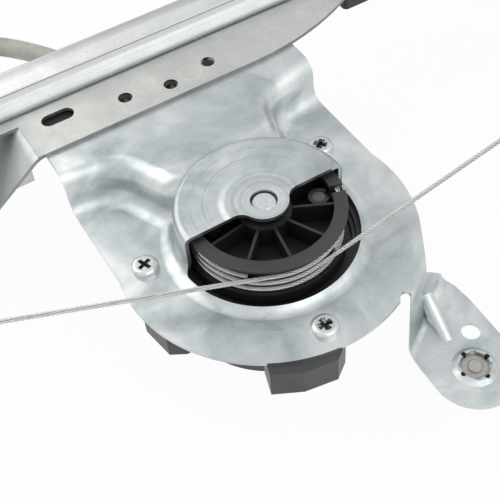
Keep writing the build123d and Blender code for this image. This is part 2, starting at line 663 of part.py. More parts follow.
def drum_cable():
    """The turns that stay on the drum, with the tails that run in to the nipples."""
    tail = (Pos(0, 0, TOP_TURN_W) * Rot(0, 90, 0)
            * Location((0, 0, (WRAP_R + NIPPLE_AT + 2.3) / 2)) * Cylinder(CABLE_R, WRAP_R - NIPPLE_AT - 2.3))
    section = Pos(WRAP_R, 0) * RegularPolygon(CABLE_R, 8)
    top, low = [level(w) * revolve(Rot(90, 0, 0) * section, Axis.Z) for w in (TOP_TURN_W, TURN_W[-1])]
    for turn in (NOTCH_TURN, NOTCH_TURN + 180):
        top += Rot(0, 0, turn) * tail
    return [top, low]


def drum_nipples():
    """Cast wire ends, set in pockets of the drum."""
    low = TOP_TURN_W - CABLE_R - 2.0
    return [Rot(0, 0, turn) * disc((NIPPLE_AT, 0), 2.2, low, DRUM_TOP_W - SPOKE_DROP - 0.2)
            for turn in (NOTCH_TURN, NOTCH_TURN + 180)]


WHEEL_LOW_W = MOTOR_W - WHEEL_T / 2
WHEEL_HIGH_W = MOTOR_W + WHEEL_T / 2
SHAFT_LOW_W = HOUSING_BACK_W + 0.4
WHEEL_ROOM_R = PITCH_R + MODULE + 0.6
DAMPER_R = 19.0
VANES = 3
PLATE_DRIVE_T = 2.0


def drum_shaft():
    """Steel shaft: round in the cover, the housing and the bush, flatted for wheel and drum."""
    round_low = disc((0, 0), SHAFT_R, SHAFT_LOW_W, WHEEL_LOW_W + 2)
    flats = level(WHEEL_LOW_W + 2) * extrude(drive_section(SHAFT_R, FLAT_HALF),
                                             POCKET_FLOOR_W - DIVIDER_T - WHEEL_LOW_W - 2.6)
    bearing = disc((0, 0), SHAFT_R, POCKET_FLOOR_W - DIVIDER_T - 0.6, POCKET_FLOOR_W + 0.4)
    drive = level(POCKET_FLOOR_W + 0.4) * extrude(drive_section(SHAFT_R, FLAT_HALF),
                                                  DRUM_TOP_W - HUB_DROP - POCKET_FLOOR_W - 0.4)
    top = disc((0, 0), SHAFT_R, DRUM_TOP_W - HUB_DROP, SHAFT_TOP_W)
    top = chamfer(top.edges().sort_by(Axis.Z)[-1], 0.5)
    shaft = round_low + flats + bearing + drive + top
    groove = ring((0, 0), SHAFT_R + 1, SHAFT_R - 0.7, WHEEL_HIGH_W + 4.0, WHEEL_HIGH_W + 5.1)
    return one(shaft - groove)


def shaft_clip():
    """Retaining clip above the drive plate."""
    low = WHEEL_HIGH_W + 4.05
    clip = ring((0, 0), SHAFT_R + 2.4, SHAFT_R - 0.6, low, low + 1.0)
    clip -= block(0, 10, -2.0, 2.0, low - 1, low + 2)
    for side in (-1, 1):
        clip += disc((SHAFT_R + 0.8, side * 3.4), 1.5, low, low + 1.0)
    return one(clip - disc((0, 0), SHAFT_R - 0.6, low - 1, low + 2))


def wheel_profile():
    """Toothed outline with a gap centred over the worm."""
    root = PITCH_R - 0.85
    tip = PITCH_R + 0.65
    outline = Circle(root)
    half_root, half_tip = 0.62, 0.28
    tooth = make_face(Polyline((root - 0.3, -half_root), (tip, -half_tip), (tip, half_tip),
                               (root - 0.3, half_root), close=True))
    step = 360 / WHEEL_TEETH
    teeth = [Rot(0, 0, -90 + (k + 0.5) * step) * tooth for k in range(WHEEL_TEETH)]
    return outline + teeth


def worm_wheel():
    """Toothed ring with a floor and three vanes that push the damper."""
    wheel = level(WHEEL_LOW_W) * extrude(wheel_profile(), WHEEL_T)
    wheel -= disc((0, 0), DAMPER_R + 1.2, WHEEL_LOW_W + 2, WHEEL_HIGH_W + 1)
    wheel -= disc((0, 0), SHAFT_R + 4.0, WHEEL_LOW_W - 1, WHEEL_HIGH_W)
    wheel += ring((0, 0), SHAFT_R + 4.0, SHAFT_R + PIN_FIT, WHEEL_LOW_W, WHEEL_LOW_W + 1.8)
    for k in range(VANES):
        vane = block(13.0, DAMPER_R + 1.6, -1.2, 1.2, WHEEL_LOW_W + 1.9, WHEEL_HIGH_W)
        wheel += Rot(0, 0, 120 * k) * vane
    return one(wheel)


def wheel_damper():
    """Rubber star between the wheel's vanes and the drive plate's lugs."""
    low, high = WHEEL_LOW_W + 2.1, WHEEL_HIGH_W - 0.1
    star = ring((0, 0), DAMPER_R + 1.0, 8.3, low, high)
    for k in range(VANES):
        star -= Rot(0, 0, 120 * k) * block(12.8, 22, -1.4, 1.4, low - 1, high + 1)
        star -= Rot(0, 0, 120 * k + 60) * block(10.8, 16.2, -1.7, 1.7, low - 1, high + 1)
    return one(star)


def drive_plate():
    """Steel plate with three bent lugs, driving the shaft's flats."""
    low = WHEEL_HIGH_W + 0.2
    plate = disc((0, 0), 18.0, low, low + PLATE_DRIVE_T)
    plate += disc((0, 0), 8.0, low, low + 3.4)
    for k in range(VANES):
        plate += Rot(0, 0, 120 * k + 60) * block(11.2, 15.8, -1.4, 1.4, low - 4.0, low + 0.5)
        plate -= disc(on_circle((0, 0), 12.5, 120 * k), 2.2, low - 1, low + 5)
    plate -= level(low - 1) * extrude(drive_section(SHAFT_R + FLAT_GAP, FLAT_HALF + FLAT_GAP), 8)
    return one(plate)


# ---------------------------------------------------------------- motor
def motor_rod(x0, x1, radius):
    return rod(x0, x1, WORM_Y, MOTOR_W, radius)


def about_motor(shape, turn):
    """Moves a shape drawn about the x axis to the motor's axis, turned about it."""
    return Location((0, WORM_Y, MOTOR_W)) * (Rot(turn, 0, 0) * shape)


def motor_ear(x0, x1, bore):
    """A lug for one of the motor's screws, with its bore."""
    lug = rod(x0, x1, 0, MOTOR_EAR_R, 3.4) + block(x0, x1, -3.4, 3.4, CAN_R - CAN_T / 2, MOTOR_EAR_R)
    return lug - rod(x0 - 1, x1 + 1, 0, MOTOR_EAR_R, bore)


def worm():
    """Single-start worm: a trapezoid thread swept round its core."""
    turns = WORM_TURNS
    length = turns * LEAD_PITCH
    core = motor_rod(-length / 2 - 1.8, length / 2 + 1.8, WORM_CORE_R)
    core -= motor_rod(-length, length, SHAFT_MOTOR_R + 0.02)
    depth = 0.25
    helix = Helix(pitch=LEAD_PITCH, height=length, radius=WORM_CORE_R)
    section_plane = Plane(origin=helix @ 0, x_dir=(1, 0, 0), z_dir=helix % 0)
    high = WORM_TIP_R - WORM_CORE_R
    root_half = THREAD_T / 2 + 0.12
    tip_half = THREAD_TIP_T / 2
    section = make_face(Polyline((-depth, -root_half), (high, -tip_half), (high, tip_half),
                                 (-depth, root_half), close=True))
    thread = sweep(section_plane * section, path=helix, is_frenet=True)
    # the quarter of a lead puts a ridge in the wheel's gap beside the worm
    start = -(WORM_TURNS // 2 + 0.25) * LEAD_PITCH
    return core + Location((start, WORM_Y, MOTOR_W)) * (Rot(0, 90, 0) * thread)


MOTOR_FLANGE_X = -40.0
TUNNEL_R = WORM_TIP_R + 0.6
TUNNEL_END_X = 14.0
LUG_W = -14.0            # underside of the housing's lugs
LEAD_Y = 8.0
GROMMET_X = -58.0
COVER_SCREW_R = 1.3
COVER_SCREW_TURNS = [25, 175, 230, 285, 340]
MOTOR_EAR_TURNS = [135, 315]   # about the motor's axis, degrees
MOTOR_EAR_R = 20.6            # ear screws, from the motor's axis
REAR_BOSS_R = 6.4


def gear_housing():
    """Moulded housing behind the plate: drum pocket, wheel room, worm tunnel and screw lugs."""
    top = PLATE_BACK_W
    body = disc((0, 0), HOUSING_R, HOUSING_BACK_W, top)
    body += motor_rod(MOTOR_FLANGE_X, TUNNEL_END_X + 3, TUNNEL_R + 3.4)
    body += motor_rod(MOTOR_FLANGE_X, MOTOR_FLANGE_X + 4, CAN_R + 1.4)
    for spot in SCREWS:
        reach = math.hypot(*spot)
        turn = math.degrees(math.atan2(spot[1], spot[0]))
        arm = block(HOUSING_R - 6, reach, -5.2, 5.2, LUG_W, top) + disc((reach, 0), 6.6, LUG_W, top)
        web = prism([(HOUSING_R - 4, -1), (reach + 2, -1), (reach + 2, 1), (HOUSING_R - 4, 1)],
                    LUG_W - 8, LUG_W + 1)
        body += Rot(0, 0, turn) * (arm + web)
    body += prism([(30, -20), (40.5, -26.5), (48.5, -29.0), (53.5, -19.5), (55.5, -8), (51.5, -2.5),
                   (40, -1), (32, -2)], LUG_W + 1, top)
    body += prism([(0, -33), (2.5, -48), (6, -51.5), (18.5, -49.5), (21.5, -44.5), (22, -28)],
                  LUG_W + 3, top)
    for turn in (90, 150, 200, 250):
        rib = block(HOUSING_R - 1, HOUSING_R + 1.6, -1, 1, HOUSING_BACK_W + 1.5, top - 6)
        body += Rot(0, 0, turn) * rib
    body -= disc((0, 0), POCKET_R, POCKET_FLOOR_W, 1)
    body += ring((0, 0), POCKET_R + 0.5, POCKET_R - 1.4, POCKET_FLOOR_W - 0.1, top - 1.6)
    room_top = POCKET_FLOOR_W - DIVIDER_T
    body -= disc((0, 0), WHEEL_ROOM_R, HOUSING_BACK_W - 1, room_top)
    body += ring((0, 0), SHAFT_R + 3.5, SHAFT_R, room_top - 3.5, room_top + 0.1)
    body -= disc((0, 0), SHAFT_R + PIN_FIT, room_top - 5, 2)
    body -= motor_rod(MOTOR_FLANGE_X - 1, TUNNEL_END_X, TUNNEL_R)
    for spot in SCREWS:
        body -= disc(spot, SCREW_R + 0.05, LUG_W - 0.5 - 1, 1)
    for turn in COVER_SCREW_TURNS:
        spot = on_circle((0, 0), WHEEL_ROOM_R + 2.3, turn)
        body -= disc(spot, COVER_SCREW_R + 0.05, HOUSING_BACK_W - 1, HOUSING_BACK_W + 9)
    for turn in MOTOR_EAR_TURNS:
        body += about_motor(motor_ear(MOTOR_FLANGE_X, MOTOR_FLANGE_X + 5, 1.55), turn)
    return one(body)


def gear_cover():
    """Cover that closes the wheel room, with the blind bearing for the shaft's end."""
    low = HOUSING_BACK_W - COVER_T
    cover = disc((0, 0), HOUSING_R, low, HOUSING_BACK_W)
    cover = chamfer(cover.edges().sort_by(Axis.Z)[0], 0.8)
    cover += ring((0, 0), SHAFT_R + 3.0, SHAFT_R + PIN_FIT, HOUSING_BACK_W - 0.1, HOUSING_BACK_W + 3.2)
    cover += ring((0, 0), 16, 14, low - 0.8, low + 0.1)
    for k in range(8):
        cover += Rot(0, 0, 45 * k) * block(15.5, 29, -0.7, 0.7, low - 0.8, low + 0.1)
    for turn in COVER_SCREW_TURNS:
        spot = on_circle((0, 0), WHEEL_ROOM_R + 2.3, turn)
        cover -= disc(spot, COVER_SCREW_R + 0.15, low - 2, HOUSING_BACK_W + 1)
    return one(cover)


def cover_screws():
    low = HOUSING_BACK_W - COVER_T
    group = []
    for turn in COVER_SCREW_TURNS:
        spot = on_circle((0, 0), WHEEL_ROOM_R + 2.3, turn)
        screw = disc(spot, COVER_SCREW_R, low - 0.1, HOUSING_BACK_W + 8)
        head = disc(spot, 2.3, low - 1.5, low)
        group.append(screw + chamfer(head.edges().sort_by(Axis.Z)[0], 0.5))
    return group


def screw_head(spot, radius, height):
    """Pan head with a cross recess, standing on w = 0."""
    head = disc(spot, radius, 0, height)
    head = fillet(head.edges().sort_by(Axis.Z)[-1], height * 0.62)
    recess = Pos(*spot) * Rot(0, 0, 20 + 31 * spot[0] % 60)
    for turn in (0, 90):
        blade = block(-radius * 0.52, radius * 0.52, -0.55, 0.55, height - 1.3, height + 1)
        head -= recess * (Rot(0, 0, turn) * blade)
    return head


def housing_screws():
    return [screw_head(spot, SCREW_HEAD_R, SCREW_HEAD_T) + disc(spot, SCREW_R, -SCREW_LENGTH, 0.1)
            for spot in SCREWS]


def dome_bush():
    """Steel bush under the dome: it takes the top of the drum shaft."""
    back = DOME_W - PLATE_T
    bush = ring((0, 0), 7.3, SHAFT_R + PIN_FIT, DRUM_TOP_W - HUB_DROP + 0.3, back)
    return bush + ring((0, 0), 5.8, SHAFT_R + PIN_FIT, DRUM_TOP_W - HUB_DROP + 0.3, back)


def motor_can():
    """Deep-drawn steel can with a bearing boss and two ears for its screws."""
    can = motor_rod(CAN_REAR_X, CAN_FRONT_X, CAN_R)
    can = fillet(can.edges().sort_by(Axis.X)[0], 2.5)
    can -= motor_rod(CAN_REAR_X + CAN_T, CAN_FRONT_X + 1, CAN_R - CAN_T)
    boss = motor_rod(CAN_REAR_X - 5, CAN_REAR_X + 1, REAR_BOSS_R)
    can += chamfer(boss.edges().sort_by(Axis.X)[0], 0.9)
    can -= motor_rod(CAN_REAR_X - 3.8, CAN_REAR_X + 3, REAR_BOSS_R - 1.4)
    for turn in MOTOR_EAR_TURNS:
        can += about_motor(motor_ear(CAN_FRONT_X - CAN_T, CAN_FRONT_X, 1.7), turn)
    return one(can)


MAGNET_X = (CAN_REAR_X + 9, CAN_FRONT_X - 8)


def motor_magnets():
    """Two arc magnets lining the can."""
    shell = motor_rod(*MAGNET_X, CAN_R - CAN_T - 0.1)
    shell -= motor_rod(MAGNET_X[0] - 1, MAGNET_X[1] + 1, CORE_R + AIR_GAP)
    shell -= block(MAGNET_X[0] - 1, MAGNET_X[1] + 1, WORM_Y - 6, WORM_Y + 6, MOTOR_W - 20, MOTOR_W + 20)
    return list(shell.solids())


def motor_screws():
    group = []
    head_x = CAN_FRONT_X - CAN_T
    for turn in MOTOR_EAR_TURNS:
        screw = rod(head_x - 0.1, MOTOR_FLANGE_X + 4.6, 0, MOTOR_EAR_R, 1.5)
        screw += rod(head_x - 2.0, head_x, 0, MOTOR_EAR_R, 3.0)
        group.append(about_motor(screw, turn))
    return group


BRUSH_X = (CAN_FRONT_X + 2, CAN_FRONT_X + 7)
COMMUTATOR_R = 5.0


def brush_holder():
    """Plastic ring between can and housing, with brush boxes and the lead's outlet."""
    holder = motor_rod(CAN_FRONT_X, MOTOR_FLANGE_X, CAN_R + 0.4)
    holder += block(CAN_FRONT_X, MOTOR_FLANGE_X, LEAD_Y - 7, WORM_Y - 10, MOTOR_W - 7.5, MOTOR_W + 7.5)
    holder -= motor_rod(CAN_FRONT_X - 1, MOTOR_FLANGE_X + 1, COMMUTATOR_R + 1.0)
    for side in (-1, 1):
        holder -= block(BRUSH_X[0] - 0.2, BRUSH_X[1] + 0.2, WORM_Y + side * 4, WORM_Y + side * 13.2,
                        MOTOR_W - 2.7, MOTOR_W + 2.7)
    for turn in MOTOR_EAR_TURNS:
        holder += about_motor(motor_ear(CAN_FRONT_X, MOTOR_FLANGE_X, 1.7), turn)
    return one(holder)


def motor_brushes():
    return [block(*BRUSH_X, WORM_Y + side * (COMMUTATOR_R + 0.05), WORM_Y + side * 13.0,
                  MOTOR_W - 2.5, MOTOR_W + 2.5) for side in (-1, 1)]


def bearing(x0, x1, radius):
    return motor_rod(x0, x1, radius) - motor_rod(x0 - 1, x1 + 1, SHAFT_MOTOR_R + PIN_FIT)


def rear_bearing():
    return bearing(CAN_REAR_X - 3.8, CAN_REAR_X + 1.6, REAR_BOSS_R - 1.45)


def front_bearing():
    return bearing(MOTOR_FLANGE_X + 0.2, MOTOR_FLANGE_X + 5.2, TUNNEL_R - 0.05)


def end_bearing():
    return bearing(TUNNEL_END_X - 3.4, TUNNEL_END_X - 0.1, TUNNEL_R - 0.05)


def armature_shaft():
    return motor_rod(CAN_REAR_X - 3.4, TUNNEL_END_X - 0.5, SHAFT_MOTOR_R)


def armature_core():
    """Laminated core with open slots for the windings."""
    core = motor_rod(MAGNET_X[0] + 3, MAGNET_X[1] - 3, CORE_R)
    core -= motor_rod(MAGNET_X[0], MAGNET_X[1], SHAFT_MOTOR_R + 0.02)
    for k in range(8):
        slot = block(MAGNET_X[0], MAGNET_X[1], -0.6, 0.6, 9.4, 13)
        pocket = rod(MAGNET_X[0], MAGNET_X[1], 0, 7.6, 2.3)
        core -= about_motor(slot + pocket, 45 * k)
    return one(core)


def armature_windings():
    """Copper: a coil side in each slot and the end turns that join them."""
    coil = None
    for x0, x1 in ((MAGNET_X[0] - 3, MAGNET_X[0] + 2.9), (MAGNET_X[1] - 2.9, MAGNET_X[1] + 3)):
        knob = motor_rod(x0, x1, 10.0)
        knob = chamfer(knob.edges().filter_by(GeomType.CIRCLE), 1.6)
        knob -= motor_rod(x0 - 1, x1 + 1, SHAFT_MOTOR_R + 0.6)
        coil = knob if coil is None else coil + knob
    for k in range(8):
        side = rod(MAGNET_X[0] + 2, MAGNET_X[1] - 2, 0, 7.6, 2.2)
        coil += about_motor(side, 45 * k)
    return one(coil)


def commutator():
    """Copper bars with mica slots between them."""
    bars = motor_rod(CAN_FRONT_X - 3.5, MOTOR_FLANGE_X - 1.5, COMMUTATOR_R)
    bars -= motor_rod(CAN_FRONT_X - 9, MOTOR_FLANGE_X, SHAFT_MOTOR_R + 0.02)
    for k in range(8):
        cut = block(CAN_FRONT_X - 5, MOTOR_FLANGE_X, -0.25, 0.25, COMMUTATOR_R - 0.7, 9)
        bars -= about_motor(cut, 45 * k + 22.5)
    return one(bars)


# ---------------------------------------------------------------- lead
# Route of the lead's sleeve, hanging from the motor; its points are chosen by hand.
LEAD_ROUTE = [(GROMMET_X, LEAD_Y, MOTOR_W), (-96, LEAD_Y, MOTOR_W), (-139, -5, MOTOR_W),
              (-177, -26, MOTOR_W), (-204, -59, MOTOR_W), (-216, -101, MOTOR_W),
              (-219, -148, MOTOR_W), (-219, -196, MOTOR_W)]


def lead_path():
    points = [Vector(*p) for p in LEAD_ROUTE]
    radii = []
    for a, b, c in zip(points, points[1:], points[2:]):
        turn = math.radians((b - a).get_angle(c - b))
        radii.append(0.45 * min((b - a).length, (c - b).length) / math.tan(turn / 2))
    return FilletPolyline(*points, radius=radii), radii


def motor_lead():
    path, radii = lead_path()
    print("lead radii", [round(r) for r in radii], "length", round(path.length, 1))
    start = Plane(origin=path @ 0, z_dir=path % 0)
    lead = sweep(start * Circle(LEAD_R), path=path.wire())
    print("lead volume", round(lead.volume), "section x length", round(math.pi * LEAD_R**2 * path.length))
    return lead


def lead_grommet():
    """Tapered rubber outlet on the brush holder."""
    x0, x1 = CAN_FRONT_X, GROMMET_X
    cone = Location(((x0 + x1) / 2, LEAD_Y, MOTOR_W)) * (Rot(0, -90, 0) * Cone(6.6, 5.2, x0 - x1))
    return cone


def lead_connector():
    """Two-way plug housing on the lead's end."""
    end = Vector(*LEAD_ROUTE[-1])
    body = Location((end.X, end.Y - 13, end.Z)) * Box(15, 26, 11)
    body = fillet(body.edges().filter_by(Axis.Y), 1.6)
    body -= Location((end.X, end.Y - 20, end.Z)) * Box(11.4, 12.1, 7.4)
    for side in (-1, 1):
        body += Location((end.X + side * 2.8, end.Y - 18, end.Z)) * Box(0.8, 9, 2.4)
    latch = Location((end.X, end.Y - 12, end.Z + 6.2)) * Box(5, 16, 1.4)
    collar = Location((end.X, end.Y - 0.5, end.Z)) * (Rot(90, 0, 0) * Cylinder(LEAD_R + 0.9, 1))
    return one(body + latch + collar)


# ---------------------------------------------------------------- carriage
NOSE = (-99.5, -90.5)
BRIDGE_X = ARCH_X - ARCH_R - 0.9
CARRIER_X = (-120.0, -63.0)
CARRIER_HALF = 26.0
PAD_X = (-101.0, -64.0)
PAD_LOW = -26.0
SLOT_LOW = -8.0
CLAMP_T = 1.8
BOLT_X = -76.0
BOLT_Y = -17.0
BOLT_R = 3.0
GLASS_BACK_W = CARRIER_W + CARRIER_T + PAD_T
CLAMP_W = GLASS_BACK_W + GLASS_T + PAD_T
CARRIER_SCREW = (-112.6, 19.0)
FERRULE_R = 3.2
FERRULE_HALF = 6.0


def slider():
    """Plastic slide that hooks round the rail's lip; its rear arm reaches the cable in the rail."""
    y0, y1 = CARRIAGE_Y - SLIDER_HALF, CARRIAGE_Y + SLIDER_HALF
    lip_back = LIP_W - RAIL_T
    body = block(SLIDER_X, BRIDGE_X, y0, y1, LIP_W + SLIDE_GAP, CARRIER_W)
    body += block(SLIDER_X, LIP_X - SLIDE_GAP, y0, y1, SLIDER_BACK_W, LIP_W + 5)
    body += block(SLIDER_X, NOSE[1], y0, y1, SLIDER_BACK_W, lip_back - SLIDE_GAP)
    body += block(*NOSE, y0, y1, lip_back - SLIDE_GAP - 1, LOW_CABLE_W + 3.9)
    for y in (y0, y1):
        edges = body.edges().filter_by(Axis.Z).filter_by(lambda e: abs(e.center().Y - y) < 0.1)
        outer = edges.filter_by(lambda e: abs(e.center().X - SLIDER_X) < 0.1
                                or abs(e.center().X - NOSE[1]) < 0.1)
        body = fillet(outer, 2.0)
    middle = CARRIAGE_Y
    for k in (-1, 0, 1):
        body -= block(SLIDER_X - 1, SLIDER_X + 3.5, middle + 18 * k - 6, middle + 18 * k + 6, 9, 21)
    cable = Location((RAIL_CABLE_X, middle, LOW_CABLE_W)) * Rot(90, 0, 0)
    body -= cable * Cylinder(CABLE_R + 0.4, 2 * SLIDER_HALF + 2)
    body -= cable * Cylinder(FERRULE_R + 0.05, 2 * FERRULE_HALF)
    for side in (-1, 1):
        body -= disc((CARRIER_SCREW[0], middle + side * CARRIER_SCREW[1]), 1.95, 12, 30)
    return one(body)


def cable_ferrule():
    """Crimped sleeve held in the slider's nose."""
    cable = Location((RAIL_CABLE_X, CARRIAGE_Y, LOW_CABLE_W)) * Rot(90, 0, 0)
    return cable * (Cylinder(FERRULE_R, 2 * FERRULE_HALF - 0.2) - Cylinder(CABLE_R + 0.4, 20))


def carrier_plate():
    """Steel plate that carries the pane, screwed to the slider."""
    mid = CARRIAGE_Y
    outline = Pos(sum(CARRIER_X) / 2, mid) * RectangleRounded(
        CARRIER_X[1] - CARRIER_X[0], 2 * CARRIER_HALF, 6)
    plate = level(CARRIER_W) * extrude(outline, CARRIER_T)
    plate -= disc((BOLT_X, mid + BOLT_Y), BOLT_R + 0.3, 20, 30)
    for side in (-1, 1):
        plate -= disc((CARRIER_SCREW[0], mid + side * CARRIER_SCREW[1]), 2.2, 20, 30)
    return one(plate)


def carrier_screws():
    group = []
    for side in (-1, 1):
        spot = (CARRIER_SCREW[0], CARRIAGE_Y + side * CARRIER_SCREW[1])
        front = CARRIER_W + CARRIER_T
        head = level(front) * screw_head(spot, 3.8, 2.2)
        group.append(head + disc(spot, 1.9, 13, front + 0.1))
    return group


def glass_pad():
    """Rubber U that holds the pane's lower edge."""
    mid = CARRIAGE_Y
    pad = block(*PAD_X, mid + PAD_LOW, mid + CARRIER_HALF, CARRIER_W + CARRIER_T, CLAMP_W)
    pad = fillet(pad.edges().filter_by(Axis.Z), 3.0)
    pad -= block(PAD_X[0] - 1, PAD_X[1] + 1, mid + SLOT_LOW, mid + 40, GLASS_BACK_W, CLAMP_W - PAD_T)
    pad -= disc((BOLT_X, mid + BOLT_Y), BOLT_R + 0.2, 20, 50)
    return one(pad)


def clamp_plate():
    mid = CARRIAGE_Y
    outline = Pos(sum(PAD_X) / 2, mid + (PAD_LOW + CARRIER_HALF) / 2) * RectangleRounded(
        PAD_X[1] - PAD_X[0], CARRIER_HALF - PAD_LOW, 3)
    plate = level(CLAMP_W) * extrude(outline, CLAMP_T)
    plate -= disc((BOLT_X, mid + BOLT_Y), BOLT_R + 0.2, 20, 50)
    return one(plate)


def hexagon(spot, across, low, high):
    return Location((spot[0], spot[1], low)) * extrude(RegularPolygon(across / 2, 6, major_radius=False),
                                                       high - low)


def clamp_bolt():
    spot = (BOLT_X, CARRIAGE_Y + BOLT_Y)
    bolt = disc(spot, BOLT_R, CARRIER_W - 5.6, CLAMP_W + CLAMP_T + 0.1)
    head = hexagon(spot, 10, CLAMP_W + CLAMP_T, CLAMP_W + CLAMP_T + 4)
    return bolt + (head & disc(spot, 5.55, 0, 80))


def clamp_nut():
    spot = (BOLT_X, CARRIAGE_Y + BOLT_Y)
    return hexagon(spot, 10, CARRIER_W - 5.0, CARRIER_W) - disc(spot, BOLT_R + 0.02, 0, 80)


def rail_bumpers():
    """Rubber stops on the rail's lip at both ends of the travel."""
    low = LOW_CARRIAGE_Y - SLIDER_HALF - 0.3
    high = HIGH_CARRIAGE_Y + SLIDER_HALF + 0.3
    group = []
    for y0, y1 in ((low - BUMPER_T, low), (high, high + BUMPER_T)):
        stop = block(LIP_X + 0.4, ARCH_X - ARCH_R - LIP_CORNER_R - 0.2, y0, y1, LIP_W, LIP_W + 6)
        group.append(fillet(stop.edges().filter_by(Axis.Y), 1.2))
    return group


def plate_stud():
    """Stud staked into the foot: a collar in the sheet, the shank out through the door panel."""
    front = PANEL_W + PLATE_T
    stud = disc(STUD, STUD_R, PANEL_W - STUD_LENGTH, front)
    stud = chamfer(stud.edges().sort_by(Axis.Z)[0], 0.8)
    stud += disc(STUD, STUD_COLLAR_R, PANEL_W, front + 0.1)
    tip = disc(STUD, STUD_TIP_R, front, front + BOSS_H - 0.1)
    return one(stud + chamfer(tip.edges().sort_by(Axis.Z)[-1], 0.4))


# ---------------------------------------------------------------- the assembly
EAR_BACK_W = EAR_W - RAIL_T
PARTS = {
    "guide_rail": guide_rail,
    "drum_plate": drum_plate,
    "upper_bracket": upper_bracket,
    "bracket_rivets": bracket_rivets,
    "plate_stud": plate_stud,
    "rail_bumpers": rail_bumpers,
    "dome_bush": dome_bush,
    "gear_housing": gear_housing,
    "gear_cover": gear_cover,
    "housing_screws": housing_screws,
    "cover_screws": cover_screws,
    "motor_can": motor_can,
    "motor_magnets": motor_magnets,
    "brush_holder": brush_holder,
    "motor_brushes": motor_brushes,
    "motor_screws": motor_screws,
    "rear_bearing": rear_bearing,
    "front_bearing": front_bearing,
    "end_bearing": end_bearing,
    "lead_grommet": lead_grommet,
    "motor_lead": motor_lead,
    "lead_connector": lead_connector,
    "lift_cable": lift_cable,
    "lower_pulley_pin": lambda: pulley_pin(LOWER_PULLEY, EAR_BACK_W, EAR_W),
    "upper_pulley_pin": lambda: pulley_pin(UPPER_PULLEY, EAR_BACK_W - BRACKET_T, EAR_W),
    "deflector_pin": lambda: pulley_pin(DEFLECTOR, EAR_BACK_W - BRACKET_T, EAR_BACK_W),
    "cable_drum": cable_drum,
    "drum_cable": drum_cable,
    "drum_nipples": drum_nipples,
    "drum_shaft": drum_shaft,
    "shaft_clip": shaft_clip,
    "worm_wheel": worm_wheel,
    "wheel_damper": wheel_damper,
    "drive_plate": drive_plate,
    "worm": worm,
    "armature_shaft": armature_shaft,
    "armature_core": armature_core,
    "armature_windings": armature_windings,
    "commutator": commutator,
    "lower_pulley": lambda: pulley(LOWER_PULLEY),
    "upper_pulley": lambda: pulley(UPPER_PULLEY),
    "deflector_pulley": lambda: pulley(DEFLECTOR),
    "slider": slider,
    "cable_ferrule": cable_ferrule,
    "carrier_plate": carrier_plate,
    "carrier_screws": carrier_screws,
    "glass_pad": glass_pad,
    "clamp_plate": clamp_plate,
    "clamp_bolt": clamp_bolt,
    "clamp_nut": clamp_nut,
}


def main():
    os.makedirs("parts", exist_ok=True)
    for name, make in PARTS.items():
        made = make()
        solids = made if isinstance(made, list) else made.solids()
        placed = Compound(children=[place(one(solid)) for solid in solids])
        export_step(placed, f"parts/{name}.step")


main()
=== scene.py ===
"""Window regulator: looks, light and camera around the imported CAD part. Metres, the part's frame."""
import json
import math

import bmesh
import bpy
from mathutils import Matrix, Vector


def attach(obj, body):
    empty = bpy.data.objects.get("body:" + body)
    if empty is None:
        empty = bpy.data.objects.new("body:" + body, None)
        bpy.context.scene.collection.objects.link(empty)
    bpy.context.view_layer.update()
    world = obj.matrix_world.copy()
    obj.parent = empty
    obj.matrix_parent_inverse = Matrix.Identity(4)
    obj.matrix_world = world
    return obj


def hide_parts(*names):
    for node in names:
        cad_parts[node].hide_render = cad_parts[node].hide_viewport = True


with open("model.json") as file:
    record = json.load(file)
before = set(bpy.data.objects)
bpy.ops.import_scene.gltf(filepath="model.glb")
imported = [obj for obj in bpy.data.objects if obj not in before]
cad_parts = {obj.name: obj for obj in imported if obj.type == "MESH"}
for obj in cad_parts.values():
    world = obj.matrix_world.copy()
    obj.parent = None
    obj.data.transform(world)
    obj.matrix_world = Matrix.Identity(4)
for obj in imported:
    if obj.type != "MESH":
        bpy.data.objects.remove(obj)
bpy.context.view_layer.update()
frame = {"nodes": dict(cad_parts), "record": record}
NODES = frame["nodes"]


STUD = (75.3, 31.5)      # plan place of the foot's stud, mm from the drum's axis
PANEL_DROP = 15.4        # from the ring's face to the door panel, mm


def at(x, y, w):
    """Working frame of the part's source, in mm from the drum's axis, to the row frame."""
    return Vector(((x - STUD[0]) / 1000, (-w - PANEL_DROP) / 1000, (y - STUD[1]) / 1000))


# ---------------------------------------------------------------- camera
camera = bpy.data.objects.new("camera", bpy.data.cameras.new("camera"))
bpy.context.collection.objects.link(camera)
camera.data.lens, camera.data.sensor_width = 69.51, 36.0
camera.data.clip_start, camera.data.clip_end = 0.01, 50.0
CAMERA_PLACE = (0.112905, -0.270121, -0.134394)
CAMERA_TURN = Matrix(((0.518358, -0.644156, 0.562466),
                      (0.060405, -0.628506, -0.775456),
                      (0.853028, 0.43594, -0.28688)))
camera.matrix_world = Matrix.Translation(CAMERA_PLACE) @ CAMERA_TURN.to_4x4()
bpy.context.scene.camera = camera
bpy.context.scene.view_settings.view_transform = "Standard"


